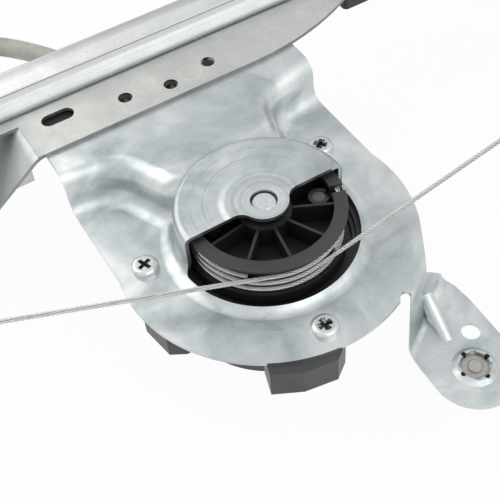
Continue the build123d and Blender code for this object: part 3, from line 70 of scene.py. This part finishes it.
# ---------------------------------------------------------------- node helpers
class Tree:
    """A material's nodes, written short."""

    def __init__(self, name):
        self.material = bpy.data.materials.new(name)
        self.material.use_nodes = True
        self.tree = self.material.node_tree
        self.shader = self.tree.nodes["Principled BSDF"]
        self.place = self.add("ShaderNodeTexCoord").outputs["Object"]

    def add(self, kind, **values):
        node = self.tree.nodes.new(kind)
        for key, value in values.items():
            if hasattr(node, key):
                setattr(node, key, value)
            else:
                self.feed(node.inputs[key.replace("_", " ")], value)
        return node

    def feed(self, socket, value):
        if isinstance(value, bpy.types.NodeSocket):
            self.tree.links.new(value, socket)
        else:
            socket.default_value = value

    def scaled(self, sx, sy, sz):
        node = self.add("ShaderNodeMapping")
        self.feed(node.inputs["Vector"], self.place)
        node.inputs["Scale"].default_value = (sx, sy, sz)
        return node.outputs["Vector"]

    def turned(self, angle, scale):
        """The place turned square to the sheet, then stretched."""
        node = self.add("ShaderNodeMapping", vector_type="TEXTURE")
        self.feed(node.inputs["Vector"], self.place)
        node.inputs["Rotation"].default_value = (0.0, angle, 0.0)
        node.inputs["Scale"].default_value = tuple(1 / s for s in scale)
        return node.outputs["Vector"]

    def noise(self, size, detail=3.0, rough=0.5, vector=None, warp=0.0):
        """Noise with cells about size metres across."""
        node = self.add("ShaderNodeTexNoise", Scale=1 / size, Detail=detail, Roughness=rough, Distortion=warp)
        self.feed(node.inputs["Vector"], vector or self.place)
        return node.outputs["Fac"]

    def span(self, value, low, high, to_low=0.0, to_high=1.0):
        node = self.add("ShaderNodeMapRange")
        for i, v in enumerate((value, low, high, to_low, to_high)):
            self.feed(node.inputs[i], v)
        return node.outputs["Result"]

    def math(self, how, a, b=0.0):
        node = self.add("ShaderNodeMath", operation=how)
        self.feed(node.inputs[0], a)
        self.feed(node.inputs[1], b)
        return node.outputs[0]

    def times(self, a, b):
        return self.math("MULTIPLY", a, b)

    def ramp(self, value, *stops):
        node = self.add("ShaderNodeValToRGB")
        self.feed(node.inputs[0], value)
        marks = node.color_ramp.elements
        while len(marks) < len(stops):
            marks.new(0.5)
        for mark, (where, color) in zip(marks, stops):
            mark.position, mark.color = where, (*color, 1)
        return node.outputs["Color"]

    def mix(self, factor, a, b):
        """a, turning to b as factor goes from 0 to 1."""
        node = self.add("ShaderNodeMix", data_type="RGBA", blend_type="MIX")
        self.feed(node.inputs[0], factor)
        for socket, value in ((node.inputs[6], a), (node.inputs[7], b)):
            self.feed(socket, (*value, 1) if isinstance(value, tuple) and len(value) == 3 else value)
        return node.outputs[2]

    def split(self):
        """The place along x, y and z."""
        node = self.add("ShaderNodeSeparateXYZ")
        self.feed(node.inputs[0], self.place)
        return node.outputs

    def distance(self, x, y):
        """Distance in metres from the line through the plan point (x, y) in mm, square to the sheet."""
        spot, axes = at(x, y, 0), self.split()
        dx, dz = self.math("SUBTRACT", axes[0], spot.x), self.math("SUBTRACT", axes[2], spot.z)
        return self.math("SQRT", self.math("ADD", self.times(dx, dx), self.times(dz, dz)))

    def hill(self, value, middle, half):
        """1 where value is at middle, falling to 0 at half away."""
        away = self.math("ABSOLUTE", self.math("SUBTRACT", value, middle))
        node = self.add("ShaderNodeMapRange", interpolation_type="SMOOTHSTEP")
        for i, v in enumerate((away, half, 0.0)):
            self.feed(node.inputs[i], v)
        return node.outputs["Result"]

    def bump(self, height, distance, strength=1.0, under=None):
        node = self.add("ShaderNodeBump", Strength=strength, Distance=distance)
        self.feed(node.inputs["Height"], height)
        if under is not None:
            self.feed(node.inputs["Normal"], under)
        return node.outputs["Normal"]

    def edges(self, low=0.52, high=0.62):
        """Convex edges, where a coating is thin or rubbed; in the sheet metal also a painted edge highlight,
        and with low above high, concave creases for painted shade.
        """
        return self.span(self.add("ShaderNodeNewGeometry").outputs["Pointiness"], low, high)

    def done(self, color, rough, normal, metallic):
        self.feed(self.shader.inputs["Base Color"], color)
        self.feed(self.shader.inputs["Roughness"], rough)
        self.feed(self.shader.inputs["Normal"], normal)
        self.shader.inputs["Metallic"].default_value = metallic
        return self.material


# ---------------------------------------------------------------- places of marks, mm in the part's plan
EAR_TOP_W = 17.2         # front face of the rail's ear
EAR_INNER_X = -78.0      # the ear lies beyond this, clear of the ridge
RIDGE_FOOT_X = -85.6     # crease between the ear and the ridge
SCORE_X = -91.0          # scored line along the ridge
JOGGLE_Y = (-49.0, -58.0)                      # the rail turns down to its foot here
RUB_MARKS = [(-74.1, -6.9), (-69.9, 10.8)]
# the plate's look darkens these collars as painted shade inside the holes
SHADED_COLLARS = [(-71.6, -15.7), (-68.4, 1.7)]       # tapped collars under two of the ear's holes
HOUSING_SCREWS = [(-9.5, -42.2), (-23.2, 38.0), (44.2, -5.5)]
SCREW_TURNS = (20, 55, 10)                     # degrees, one for each screw's cross
DOME_FACE_W = 16.6       # only the dome stands above this
# painted shade rings on the dome (radius, half width, depth): at its rounded rim and at two pressed steps
# round the hub
DOME_SHADE_RINGS = ((0.0296, 0.0022, 0.45), (0.0080, 0.0012, 0.3), (0.0106, 0.0012, 0.35))
PRESSED_RING_R = 0.0128  # metres, round the hub
# the four notches round the stud get painted shade
NOTCH_R, NOTCH_TURN = 5.3, 6.0                 # dark marks round the stud
DRUM_LIT_W, DRUM_DARK_W = 13.4, 11.5           # the drum darkens between these, below its rim


# ---------------------------------------------------------------- materials
def sheet_metal(name, dark, mid, light, marks=None, clouding=1.0):
    """Bright zinc plate on pressed sheet: cloudy colour, smears, scratches, softly waved reflections, rubbed
    convex edges with a painted edge highlight, and painted shade in concave creases.
    """
    t = Tree(name)
    clouds = t.noise(0.030, 4, 0.55, warp=1.6)
    smears = t.noise(0.010, 5, 0.62, t.scaled(1.0, 1.0, 0.6), warp=0.8)
    grain = t.noise(0.0007, 2, 0.6)
    shade = t.math("ADD", t.times(clouds, 0.62), t.times(smears, 0.38))
    low, high = 0.5 - 0.13 / clouding, 0.5 + 0.13 / clouding
    color = t.ramp(shade, (low, dark), (0.5, mid), (high, light))
    stain = t.span(t.noise(0.014, 5, 0.65, warp=2.0), 0.60, 0.70)
    color = t.mix(t.times(stain, 0.30), color, dark)
    worn = t.span(t.noise(0.0024, 5, 0.7), 0.63, 0.74)
    color = t.mix(t.times(worn, 0.30), color, tuple(c * 0.5 for c in dark))
    scratch = t.span(t.noise(0.0016, 2, 0.5, t.turned(0.5, (1.0, 1.0, 0.035))), 0.70, 0.74)
    color = t.mix(t.times(scratch, 0.18), color, light)
    normal = t.bump(t.noise(0.024, 2, 0.5), 0.0012, 0.6)
    normal = t.bump(grain, 0.00003, 0.5, normal)
    # convex edges paler for rubbed coating and a painted edge highlight; concave creases darker as painted
    # shade
    color = t.mix(t.times(t.edges(0.54, 0.64), 0.5), color, light)
    color = t.mix(t.times(t.edges(0.47, 0.38), 0.6), color, tuple(c * 0.45 for c in dark))
    if marks:
        color, normal = marks(t, color, normal)
    finish = t.span(t.math("ADD", t.times(smears, 0.6), t.times(grain, 0.4)),
                    0.3, 0.7, 0.46, 0.28)
    return t.done(color, finish, normal, 1.0)


def dome_marks(t, color, normal):
    """On the dome a pressed ring, round scuffs and painted shade rings at its rim and hub; on the foot
    painted shade in the stud's recess and its four notches; the tapped collars darkened to painted shade.
    """
    reach = t.distance(0, 0)
    on_dome = t.math("LESS_THAN", t.split()[1], at(0, 0, DOME_FACE_W).y)
    scuff = t.add("ShaderNodeCombineXYZ")
    t.feed(scuff.inputs[0], reach)
    arcs = t.noise(0.0011, 3, 0.6, scuff.outputs[0])
    patchy = t.span(t.noise(0.009, 3, 0.5), 0.42, 0.62)
    strength = t.times(t.times(patchy, on_dome), 0.5)
    color = t.mix(t.times(t.span(arcs, 0.5, 0.62), strength), color, (0.36, 0.38, 0.38))
    # painted shade: a dark ring at the dome's rounded rim and two at the hub's pressed steps
    (rim, rim_half, rim_depth), *hub_shade_rings = DOME_SHADE_RINGS
    color = t.mix(t.times(t.hill(reach, rim, rim_half), rim_depth), color, (0.30, 0.315, 0.32))
    for middle, half, depth in hub_shade_rings:
        ring = t.times(t.hill(reach, middle, half), t.times(on_dome, depth))
        color = t.mix(ring, color, (0.30, 0.32, 0.32))
    # painted shade in the stud's recess and in the four notches round it
    recess = t.span(t.distance(*STUD), 0.0052, 0.0046)
    color = t.mix(t.times(recess, 0.75), color, (0.27, 0.265, 0.24))
    for k in range(4):
        turn = math.radians(NOTCH_TURN + 90 * k)
        spot = (STUD[0] + NOTCH_R * math.cos(turn), STUD[1] + NOTCH_R * math.sin(turn))
        color = t.mix(t.span(t.distance(*spot), 0.0010, 0.0007), color, (0.02, 0.02, 0.02))
    # painted shade: the collars darkened so that the holes above them look dark inside
    for spot in SHADED_COLLARS:
        collar = t.span(t.distance(*spot), 0.0034, 0.0030)
        color = t.mix(t.times(collar, 0.9), color, (0.12, 0.125, 0.095))
    pressed = t.times(t.hill(reach, PRESSED_RING_R, 0.0030), on_dome)
    return color, t.bump(pressed, 0.0003, 1.0, normal)


def ridge_painted_light(t, x):
    """Painted light across the ridge, from its far shoulder to its foot: painted shade on the shoulder, a
    painted highlight band along the crown.
    """
    stops = ((-105, (0.46, 0.46, 0.455)), (-101, (0.52, 0.52, 0.515)), (-97, (0.84, 0.85, 0.84)),
             (-92, (0.80, 0.81, 0.80)), (-90.8, (0.62, 0.63, 0.62)), (-86, (0.58, 0.60, 0.60)))
    start, end = stops[0][0], stops[-1][0]
    share = t.span(x, at(start, 0, 0).x, at(end, 0, 0).x)
    return t.ramp(share, *(((where - start) / (end - start), shade) for where, shade in stops))


def rail_marks(t, color, normal):
    """Along the rail: the ridge's painted highlight and shade bands, painted shade lines in the crease and
    the scored grooves, drawn streaks, rub marks, painted shade on the ear's cut edges and on the joggle.
    """
    x, y, z = t.split()
    facing = t.add("ShaderNodeSeparateXYZ")
    t.feed(facing.inputs[0], t.add("ShaderNodeNewGeometry").outputs["Normal"])
    across = t.math("ABSOLUTE", facing.outputs[1])
    streaks = t.span(t.noise(0.0022, 3, 0.6, t.scaled(1.0, 1.0, 0.02)), 0.50, 0.68)
    on_ridge = t.math("LESS_THAN", x, at(RIDGE_FOOT_X, 0, 0).x)
    # painted highlight and shade bands across the ridge
    color = t.mix(t.times(on_ridge, 0.8), color, ridge_painted_light(t, x))
    color = t.mix(t.times(t.times(streaks, on_ridge), 0.25), color, (0.36, 0.37, 0.37))
    on_top = t.math("LESS_THAN", y, at(0, 0, EAR_TOP_W - 1).y)
    # painted shade: a dark line in the crease at the ridge's foot, fainter ones along the scored grooves
    lines = ((RIDGE_FOOT_X + 0.2, 0.0015, 0.96), (SCORE_X, 0.0003, 0.6), (-99.2, 0.0002, 0.25))
    for shade_line_x, half, depth in lines:
        line = t.times(t.hill(x, at(shade_line_x, 0, 0).x, half), on_top)
        color = t.mix(t.times(line, depth), color, (0.05, 0.065, 0.075))
    for spot in RUB_MARKS:
        rub = t.hill(t.distance(*spot), 0.0042, 0.0007)
        color = t.mix(t.times(rub, 0.6), color, (0.78, 0.75, 0.66))
    speckle = t.span(t.noise(0.0011, 4, 0.75), 0.54, 0.66)
    color = t.mix(t.times(speckle, 0.30), color, (0.36, 0.36, 0.345))
    on_ear = t.math("GREATER_THAN", x, at(EAR_INNER_X, 0, 0).x)
    # painted shade on the ear's cut edges, where the sheet stands over the land
    shaded_cut_edge = t.times(t.math("LESS_THAN", across, 0.25), on_ear)
    color = t.mix(t.times(shaded_cut_edge, 0.75), color, (0.10, 0.10, 0.10))
    # painted shade on the slope where the rail turns down to its foot
    off_ridge = t.math("GREATER_THAN", x, at(RIDGE_FOOT_X + 0.8, 0, 0).x)
    high, low = (at(0, y_mm, 0).z for y_mm in JOGGLE_Y)
    joggle_shade = t.times(t.span(z, high, low), off_ridge)
    color = t.mix(t.times(joggle_shade, 0.8), color, (0.33, 0.36, 0.37))
    return color, normal


def deep_shade(t, color, normal):
    """The drum below its rim, darker, as in the picture's deep shade."""
    depth = t.span(t.split()[1], at(0, 0, DRUM_LIT_W).y, at(0, 0, DRUM_DARK_W).y)
    return t.mix(t.times(depth, 0.8), color, (0.004, 0.004, 0.004)), normal


def cross_shade(t, color, normal):
    """Painted shade in the cross recess of each screw head, with a sunken bump."""
    x, _, z = t.split()
    for spot, turn in zip(HOUSING_SCREWS, SCREW_TURNS):
        middle, lean = at(*spot, 0), math.radians(turn)
        dx, dz = t.math("SUBTRACT", x, middle.x), t.math("SUBTRACT", z, middle.z)
        for c, s in ((math.cos(lean), math.sin(lean)), (-math.sin(lean), math.cos(lean))):
            along = t.math("ADD", t.times(dx, c), t.times(dz, s))
            aside = t.math("SUBTRACT", t.times(dz, c), t.times(dx, s))
            bar = t.times(t.span(t.math("ABSOLUTE", along), 0.0026, 0.0023),
                         t.span(t.math("ABSOLUTE", aside), 0.0008, 0.0005))
            color = t.mix(t.times(bar, 0.92), color, (0.03, 0.03, 0.03))
            normal = t.bump(bar, -0.0006, 0.8, normal)
    return color, normal


def plain_metal(name, color, rough, lines=None, spread=0.12, marks=None):
    """Turned or stamped small metal with fine marks; lines gives the marks' stretch."""
    t = Tree(name)
    fine = t.noise(0.0012, 3, 0.6, t.scaled(*lines) if lines else None)
    broad = t.noise(0.006, 2, 0.5)
    dark = tuple(c * (1 - spread) for c in color)
    light = tuple(min(1.0, c * (1 + spread)) for c in color)
    shade = t.ramp(t.math("ADD", t.times(fine, 0.5), t.times(broad, 0.5)),
                   (0.36, dark), (0.64, light))
    shade = t.mix(t.times(t.edges(), 0.4), shade, light)
    normal = t.bump(fine, 0.00002, 0.6)
    if marks:
        shade, normal = marks(t, shade, normal)
    return t.done(shade, t.span(fine, 0.3, 0.7, rough * 1.3, rough * 0.8), normal, 1.0)


def moulded(name, color, rough, marks=None):
    """Moulded plastic: fine spark-eroded grain, slight flow marks, edges a little paler."""
    t = Tree(name)
    flow = t.noise(0.012, 3, 0.5)
    fine = t.noise(0.0005, 2, 0.5)
    low = tuple(c * 0.82 for c in color)
    high = tuple(min(1.0, c * 1.2 + 0.004) for c in color)
    shade = t.ramp(flow, (0.38, low), (0.62, high))
    pale = tuple(min(1.0, c * 1.5 + 0.02) for c in color)
    shade = t.mix(t.times(t.edges(), 0.35), shade, pale)
    normal = t.bump(fine, 0.00002, 0.7)
    if marks:
        shade, normal = marks(t, shade, normal)
    return t.done(shade, t.span(fine, 0.3, 0.7, rough * 1.15, rough * 0.88), normal, 0.0)


def rubbery(name, color):
    """Dull rubber with a little dust."""
    t = Tree(name)
    fine = t.noise(0.0008, 3, 0.6)
    dust = t.noise(0.007, 3, 0.5)
    pale = tuple(min(1.0, c * 1.6 + 0.01) for c in color)
    shade = t.ramp(dust, (0.4, color), (0.72, pale))
    finish = t.span(fine, 0.3, 0.7, 0.68 * 1.08, 0.68 * 0.9)
    return t.done(shade, finish, t.bump(fine, 0.00004, 0.6), 0.0)


PLATE_ZINC = ((0.35, 0.40, 0.42), (0.55, 0.585, 0.59), (0.76, 0.775, 0.77))
RAIL_ZINC = ((0.44, 0.45, 0.43), (0.58, 0.585, 0.56), (0.70, 0.70, 0.67))
SLOTS = {
    "zinc_sheet": sheet_metal("zinc_sheet", *PLATE_ZINC),
    "screw_steel": plain_metal("screw_steel", (0.66, 0.67, 0.68), 0.28),
    "pin_steel": plain_metal("pin_steel", (0.58, 0.59, 0.60), 0.25),
    "cable_steel": plain_metal("cable_steel", (0.60, 0.60, 0.585), 0.42),
    # the nipples' zinc is darkened all over to painted shade
    "nipple_zinc": plain_metal("nipple_zinc", (0.13, 0.13, 0.13), 0.5),
    "drum_plastic": moulded("drum_plastic", (0.022, 0.022, 0.0225), 0.46),
    "housing_plastic": moulded("housing_plastic", (0.040, 0.039, 0.039), 0.40),
    "motor_steel": plain_metal("motor_steel", (0.10, 0.10, 0.105), 0.4),
    "magnet_ferrite": moulded("magnet_ferrite", (0.08, 0.08, 0.085), 0.6),
    "lamination_steel": plain_metal("lamination_steel", (0.36, 0.36, 0.37), 0.4, (6.0, 1.0, 1.0)),
    "winding_copper": plain_metal("winding_copper", (0.62, 0.27, 0.11), 0.3, (1.0, 5.0, 5.0)),
    "commutator_copper": plain_metal("commutator_copper", (0.72, 0.40, 0.22), 0.3),
    "brush_carbon": moulded("brush_carbon", (0.05, 0.05, 0.052), 0.6),
    "bearing_bronze": plain_metal("bearing_bronze", (0.16, 0.13, 0.10), 0.4),
    "gear_plastic": moulded("gear_plastic", (0.78, 0.76, 0.69), 0.45),
    "pulley_plastic": moulded("pulley_plastic", (0.70, 0.70, 0.66), 0.45),
    "slider_plastic": moulded("slider_plastic", (0.035, 0.035, 0.037), 0.5),
    "black_rubber": rubbery("black_rubber", (0.022, 0.022, 0.022)),
    "lead_sleeve": moulded("lead_sleeve", (0.44, 0.43, 0.375), 0.42),
    "connector_plastic": moulded("connector_plastic", (0.03, 0.03, 0.031), 0.5),
}
slot_of = {s["node"]: s["material_slot"] for s in frame["record"]["subparts"]}
for name, node in NODES.items():
    node.data.materials.clear()
    node.data.materials.append(SLOTS[slot_of[name]])
RAIL_LOOK = sheet_metal("rail_zinc", *RAIL_ZINC, marks=rail_marks, clouding=0.6)
OWN_LOOKS = {
    "guide_rail": RAIL_LOOK,
    "cable_drum": moulded("drum_black", (0.028, 0.028, 0.028), 0.46, marks=deep_shade),
    "plate_stud": plain_metal("dull_stud", (0.40, 0.39, 0.365), 0.5),
    "drum_shaft": plain_metal("bright_shaft", (0.76, 0.77, 0.77), 0.3, spread=0.03),
    "dome_bush": plain_metal("oiled_bush", (0.035, 0.033, 0.03), 0.5),
    # the screws carry painted shade in their cross recesses
    "housing_screws": plain_metal("crossed_screws", (0.62, 0.63, 0.63), 0.34, marks=cross_shade),
    "drum_plate": sheet_metal("plate_zinc", *PLATE_ZINC, marks=dome_marks, clouding=0.8),
}
for name, look in OWN_LOOKS.items():
    NODES[name].data.materials[0] = look


def piece(name, mesh, material, body):
    """A finished bmesh as an object that rides on a body."""
    data = bpy.data.meshes.new(name)
    mesh.to_mesh(data)
    mesh.free()
    obj = bpy.data.objects.new(name, data)
    bpy.context.collection.objects.link(obj)
    data.materials.append(material)
    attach(obj, body)
    return obj


# ---------------------------------------------------------------- rail's crown
RAIL_ENDS = (-258.0, 214.0)
ARCH, ARCH_R = (-93.5, 12.8), 11.0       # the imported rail's arch, in its section
CROWN_TOP_W, CROWN_BACK_X, CROWN_R = 24.2, -104.95, 3.2
ARC_STEPS = 14


def arc(center, radius, start, end, count):
    turns = [math.radians(start + (end - start) * k / count) for k in range(count + 1)]
    return [(center[0] + radius * math.cos(t), center[1] + radius * math.sin(t)) for t in turns]


def rail_crown():
    """The ridge's broad flat crown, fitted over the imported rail's round one."""
    outer = [(SCORE_X, 23.4), (SCORE_X - 0.3, CROWN_TOP_W - 0.3)]
    outer += arc((CROWN_BACK_X + CROWN_R, CROWN_TOP_W - CROWN_R), CROWN_R, 90, 180, ARC_STEPS)
    inner = arc(ARCH, ARCH_R - 0.5, 176, 80, ARC_STEPS)
    section = outer + [(CROWN_BACK_X, ARCH[1] + 1)] + inner
    mesh = bmesh.new()
    rings = [[mesh.verts.new(at(x, y, w)) for x, w in section] for y in RAIL_ENDS]
    for k in range(len(section)):
        j = (k + 1) % len(section)
        face = mesh.faces.new((rings[0][k], rings[0][j], rings[1][j], rings[1][k]))
        face.smooth = 2 <= k < len(outer) - 1
    mesh.faces.new(rings[0])
    mesh.faces.new(rings[1][::-1])
    bmesh.ops.recalc_face_normals(mesh, faces=mesh.faces)
    piece("rail_crown", mesh, RAIL_LOOK, "frame")


rail_crown()


# ---------------------------------------------------------------- rubber pad under the rail's slot
PAD_X, PAD_Y, PAD_W = (-84.5, -66.0), (-50.0, -28.0), (9.0, 14.4)   # up to the back of the land
PAD_CORNER = 0.003       # how far the notched corners are cut in, metres


def slot_pad():
    """A black pad with notched corners against the back of the land, seen through the rail's slot."""
    low, high = (at(PAD_X[i], PAD_Y[i], PAD_W[i]) for i in (0, 1))
    mesh = bmesh.new()
    bmesh.ops.create_cube(mesh, size=1.0)
    for vert in mesh.verts:
        vert.co = [low[k] + (high[k] - low[k]) * (vert.co[k] + 0.5) for k in range(3)]
    bmesh.ops.recalc_face_normals(mesh, faces=mesh.faces)
    upright = [e for e in mesh.edges if abs(e.verts[0].co.y - e.verts[1].co.y) > 0.001]
    bmesh.ops.bevel(mesh, geom=upright, offset=PAD_CORNER, segments=5, affect="EDGES")
    piece("slot_pad", mesh, SLOTS["black_rubber"], "frame")


slot_pad()


# ---------------------------------------------------------------- motor lead
LEAD_ROUTE = [(-58, 8, -24), (-96, 8, -24), (-139, -5, -24), (-177, -26, -24),
              (-204, -59, -24), (-216, -101, -24), (-219, -148, -24), (-219, -196, -24)]
LEAD_R, LEAD_LENGTH = 0.0043, 0.306


def route(name, points, radius):
    curve = bpy.data.curves.new(name, "CURVE")
    curve.dimensions = "3D"
    spline = curve.splines.new("NURBS")
    spline.points.add(len(points) - 1)
    for point, place in zip(spline.points, points):
        point.co = (*at(*place), 1)
    spline.order_u, spline.use_endpoint_u = 3, True
    spline.resolution_u = 12
    curve.bevel_depth, curve.bevel_resolution = radius, 6
    obj = bpy.data.objects.new(name, curve)
    bpy.context.collection.objects.link(obj)
    return obj


lead = route("lead_sleeve", LEAD_ROUTE, LEAD_R)
lead.data.materials.append(SLOTS["lead_sleeve"])
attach(lead, "frame")
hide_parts("motor_lead")


# ---------------------------------------------------------------- wire rope
WRAP_R, PULLEY_R, CABLE_R = 26.0, 14.5, 0.85
LOW_W, HIGH_W, RING_W, BOTTOM_W = 8.7, 5.6, 11.8, 2.5
LOW_TURN, HIGH_TURN, WRAP = -22.2, 6.7, 338.0
LOWER, UPPER, DEFLECTOR = (-80.5, -227.695), (-80.5, 195.0), (-11.328, 195.0)
LAY = 9.5                # one twist of the strands, mm
STEP = 0.8               # between the rope's cross-sections, mm
STRANDS, STRAND_SIDES = 6, 6
STRAND_R = CABLE_R * 0.345


def clockwise(center, radius, start, size, w):
    count = max(2, round(math.radians(size) * radius / STEP))
    turns = [math.radians(start - size * k / count) for k in range(count + 1)]
    return [Vector((center[0] + radius * math.cos(t), center[1] + radius * math.sin(t), w)) for t in turns]


def joined(*runs):
    """One line through the runs, with points every STEP on the straights between them."""
    line = []
    for run in runs:
        if line:
            gap = run[0] - line[-1]
            count = round(gap.length / STEP)
            line += [line[-1] + gap * k / count for k in range(1, count)] if count > 1 else []
        line += run if not line or (run[0] - line[-1]).length > 1e-6 else run[1:]
    return line


def along_line(line, closed):
    """Each point with its normal, its side and the length run so far, and the whole length."""
    count, run, frames = len(line), 0.0, []
    for k, point in enumerate(line):
        ahead = line[(k + 1) % count] if closed else line[min(k + 1, count - 1)]
        behind = line[k - 1] if closed or k else line[0]
        tangent = (ahead - behind).normalized()
        up = Vector((0, 0, 1))
        normal = (up - tangent * tangent.dot(up)).normalized()
        frames.append((point, normal, tangent.cross(normal), run))
        run += (line[(k + 1) % count] - point).length if k < count - 1 or closed else 0
    return frames, run


def add_strand(mesh, frames, length, twists, start, off, closed):
    """One strand, off mm from the rope's middle, wound round it from the turn start."""
    rings = []
    for point, normal, side, run in frames:
        phase = 2 * math.pi * (start + run / length * twists)
        middle = point + (normal * math.cos(phase) + side * math.sin(phase)) * off
        corners_at = (phase + 2 * math.pi * c / STRAND_SIDES for c in range(STRAND_SIDES))
        rings.append([mesh.verts.new(at(*(middle + (normal * math.cos(a) + side * math.sin(a)) * STRAND_R)))
                      for a in corners_at])
    for a, b in list(zip(rings, rings[1:])) + ([(rings[-1], rings[0])] if closed else []):
        for c in range(STRAND_SIDES):
            d = (c + 1) % STRAND_SIDES
            mesh.faces.new((a[c], a[d], b[d], b[c])).smooth = True
    if not closed:
        mesh.faces.new(rings[0][::-1])
        mesh.faces.new(rings[-1])


def rope(name, lines, body, replaced, closed=False):
    """Twisted strands round a core, laid along each line."""
    mesh = bmesh.new()
    for line in lines:
        frames, length = along_line(line, closed)
        twists = round(length / LAY) if closed else length / LAY
        for s in range(STRANDS + 1):
            off = 0.0 if s == STRANDS else CABLE_R - STRAND_R
            add_strand(mesh, frames, length, twists, s / STRANDS, off, closed)
    bmesh.ops.recalc_face_normals(mesh, faces=mesh.faces)
    obj = piece(name, mesh, SLOTS["cable_steel"], body)
    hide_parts(replaced)


lift_line = joined(
    clockwise((0, 0), WRAP_R, LOW_TURN + WRAP, WRAP, LOW_W),
    clockwise(LOWER, PULLEY_R, LOW_TURN, 180 + LOW_TURN, LOW_W),
    clockwise(UPPER, PULLEY_R, 180, 90, LOW_W),
    clockwise(DEFLECTOR, PULLEY_R, 90, 90 - HIGH_TURN, LOW_W),
    clockwise((0, 0), WRAP_R, HIGH_TURN, WRAP, HIGH_W))
rope("lift_cable_strands", [lift_line], "frame", "lift_cable")
rope("drum_cable_strands", [clockwise((0, 0), WRAP_R, 90, 360, w)[:-1] for w in (RING_W, BOTTOM_W)],
     "drum", "drum_cable", closed=True)


# ---------------------------------------------------------------- studio
def card(name, center, normal, width, height, material):
    mesh = bpy.data.meshes.new(name)
    w, h = width / 2, height / 2
    mesh.from_pydata([(-w, -h, 0), (w, -h, 0), (w, h, 0), (-w, h, 0)], [], [(0, 1, 2, 3)])
    obj = bpy.data.objects.new(name, mesh)
    obj.matrix_world = (Matrix.Translation(center)
                        @ Vector(normal).to_track_quat("Z", "Y").to_matrix().to_4x4())
    obj.data.materials.append(material)
    bpy.context.collection.objects.link(obj)
    return obj


def white_for_eye(nodes, links, lit, white, out):
    """Camera, glossy and transmission rays see plain white."""
    path = nodes.new("ShaderNodeLightPath")
    seen = nodes.new("ShaderNodeMath")
    seen.operation = "MAXIMUM"
    links.new(path.outputs["Is Camera Ray"], seen.inputs[0])
    shiny = nodes.new("ShaderNodeMath")
    shiny.operation = "MAXIMUM"
    links.new(path.outputs["Is Glossy Ray"], shiny.inputs[0])
    links.new(path.outputs["Is Transmission Ray"], shiny.inputs[1])
    links.new(shiny.outputs[0], seen.inputs[1])
    mix = nodes.new("ShaderNodeMixShader")
    links.new(seen.outputs[0], mix.inputs[0])
    links.new(lit, mix.inputs[1])
    links.new(white, mix.inputs[2])
    links.new(mix.outputs[0], out)


world = bpy.data.worlds.new("studio")
bpy.context.scene.world = world
world.use_nodes = True
wn, wl = world.node_tree.nodes, world.node_tree.links
wn.clear()
soft, bright = wn.new("ShaderNodeBackground"), wn.new("ShaderNodeBackground")
soft.inputs["Color"].default_value = (0.93, 0.96, 1.0, 1)
soft.inputs["Strength"].default_value = 0.55
bright.inputs["Color"].default_value = (1, 1, 1, 1)
bright.inputs["Strength"].default_value = 1.0
white_for_eye(wn, wl, soft.outputs[0], bright.outputs[0],
              wn.new("ShaderNodeOutputWorld").inputs["Surface"])


def lamp(name, place, target, size, power, color):
    data = bpy.data.lights.new(name, "AREA")
    data.shape, data.size, data.energy, data.color = "SQUARE", size, power, color
    obj = bpy.data.objects.new(name, data)
    obj.location = place
    obj.rotation_mode = "QUATERNION"
    obj.rotation_quaternion = (Vector(target) - Vector(place)).to_track_quat("-Z", "Y")
    bpy.context.collection.objects.link(obj)


CENTER = tuple(at(0, 0, 0))
lamp("key", (-1.1, -1.0, -0.6), CENTER, 1.5, 8.0, (1.0, 0.99, 0.97))
lamp("fill", (0.9, -1.2, 0.35), CENTER, 1.3, 6.5, (0.95, 0.98, 1.0))

# the table that the unit lies on in the picture, behind it and clear of its motor: near white to
# the eye and in reflections, with a part of its light left to carry a faint shadow; from behind
# it is clear
table = bpy.data.materials.new("pale_table")
table.use_nodes = True
tn, tl = table.node_tree.nodes, table.node_tree.links
body = tn["Principled BSDF"]
body.inputs["Base Color"].default_value = (0.93, 0.93, 0.93, 1)
body.inputs["Roughness"].default_value = 0.9
glow, blend = tn.new("ShaderNodeEmission"), tn.new("ShaderNodeMixShader")
glow.inputs["Color"].default_value = (1, 1, 1, 1)
glow.inputs["Strength"].default_value = 1.0
blend.inputs["Fac"].default_value = 0.955
tl.new(body.outputs[0], blend.inputs[1])
tl.new(glow.outputs[0], blend.inputs[2])
clear, side = tn.new("ShaderNodeBsdfTransparent"), tn.new("ShaderNodeMixShader")
tl.new(tn.new("ShaderNodeNewGeometry").outputs["Backfacing"], side.inputs[0])
white_for_eye(tn, tl, body.outputs[0], blend.outputs[0], side.inputs[1])
tl.new(clear.outputs[0], side.inputs[2])
tl.new(side.outputs[0], tn["Material Output"].inputs["Surface"])
card("table", (-0.06, 0.0262, -0.05), (0, -1, 0), 6.0, 6.0, table)

# a pale grey board up and left behind the camera, seen only in the sheet's reflections
wall = bpy.data.materials.new("grey_wall")
wall.use_nodes = True
wall_shader = wall.node_tree.nodes["Principled BSDF"]
wall_shader.inputs["Base Color"].default_value = (0, 0, 0, 1)
wall_shader.inputs["Emission Color"].default_value = (0.80, 0.86, 0.90, 1)
wall_shader.inputs["Emission Strength"].default_value = 0.7
board = card("reflected_wall", (-1.4, -1.9, 0.7), (0.62, 0.74, -0.27), 1.4, 0.9, wall)
board.visible_camera = board.visible_diffuse = board.visible_shadow = False
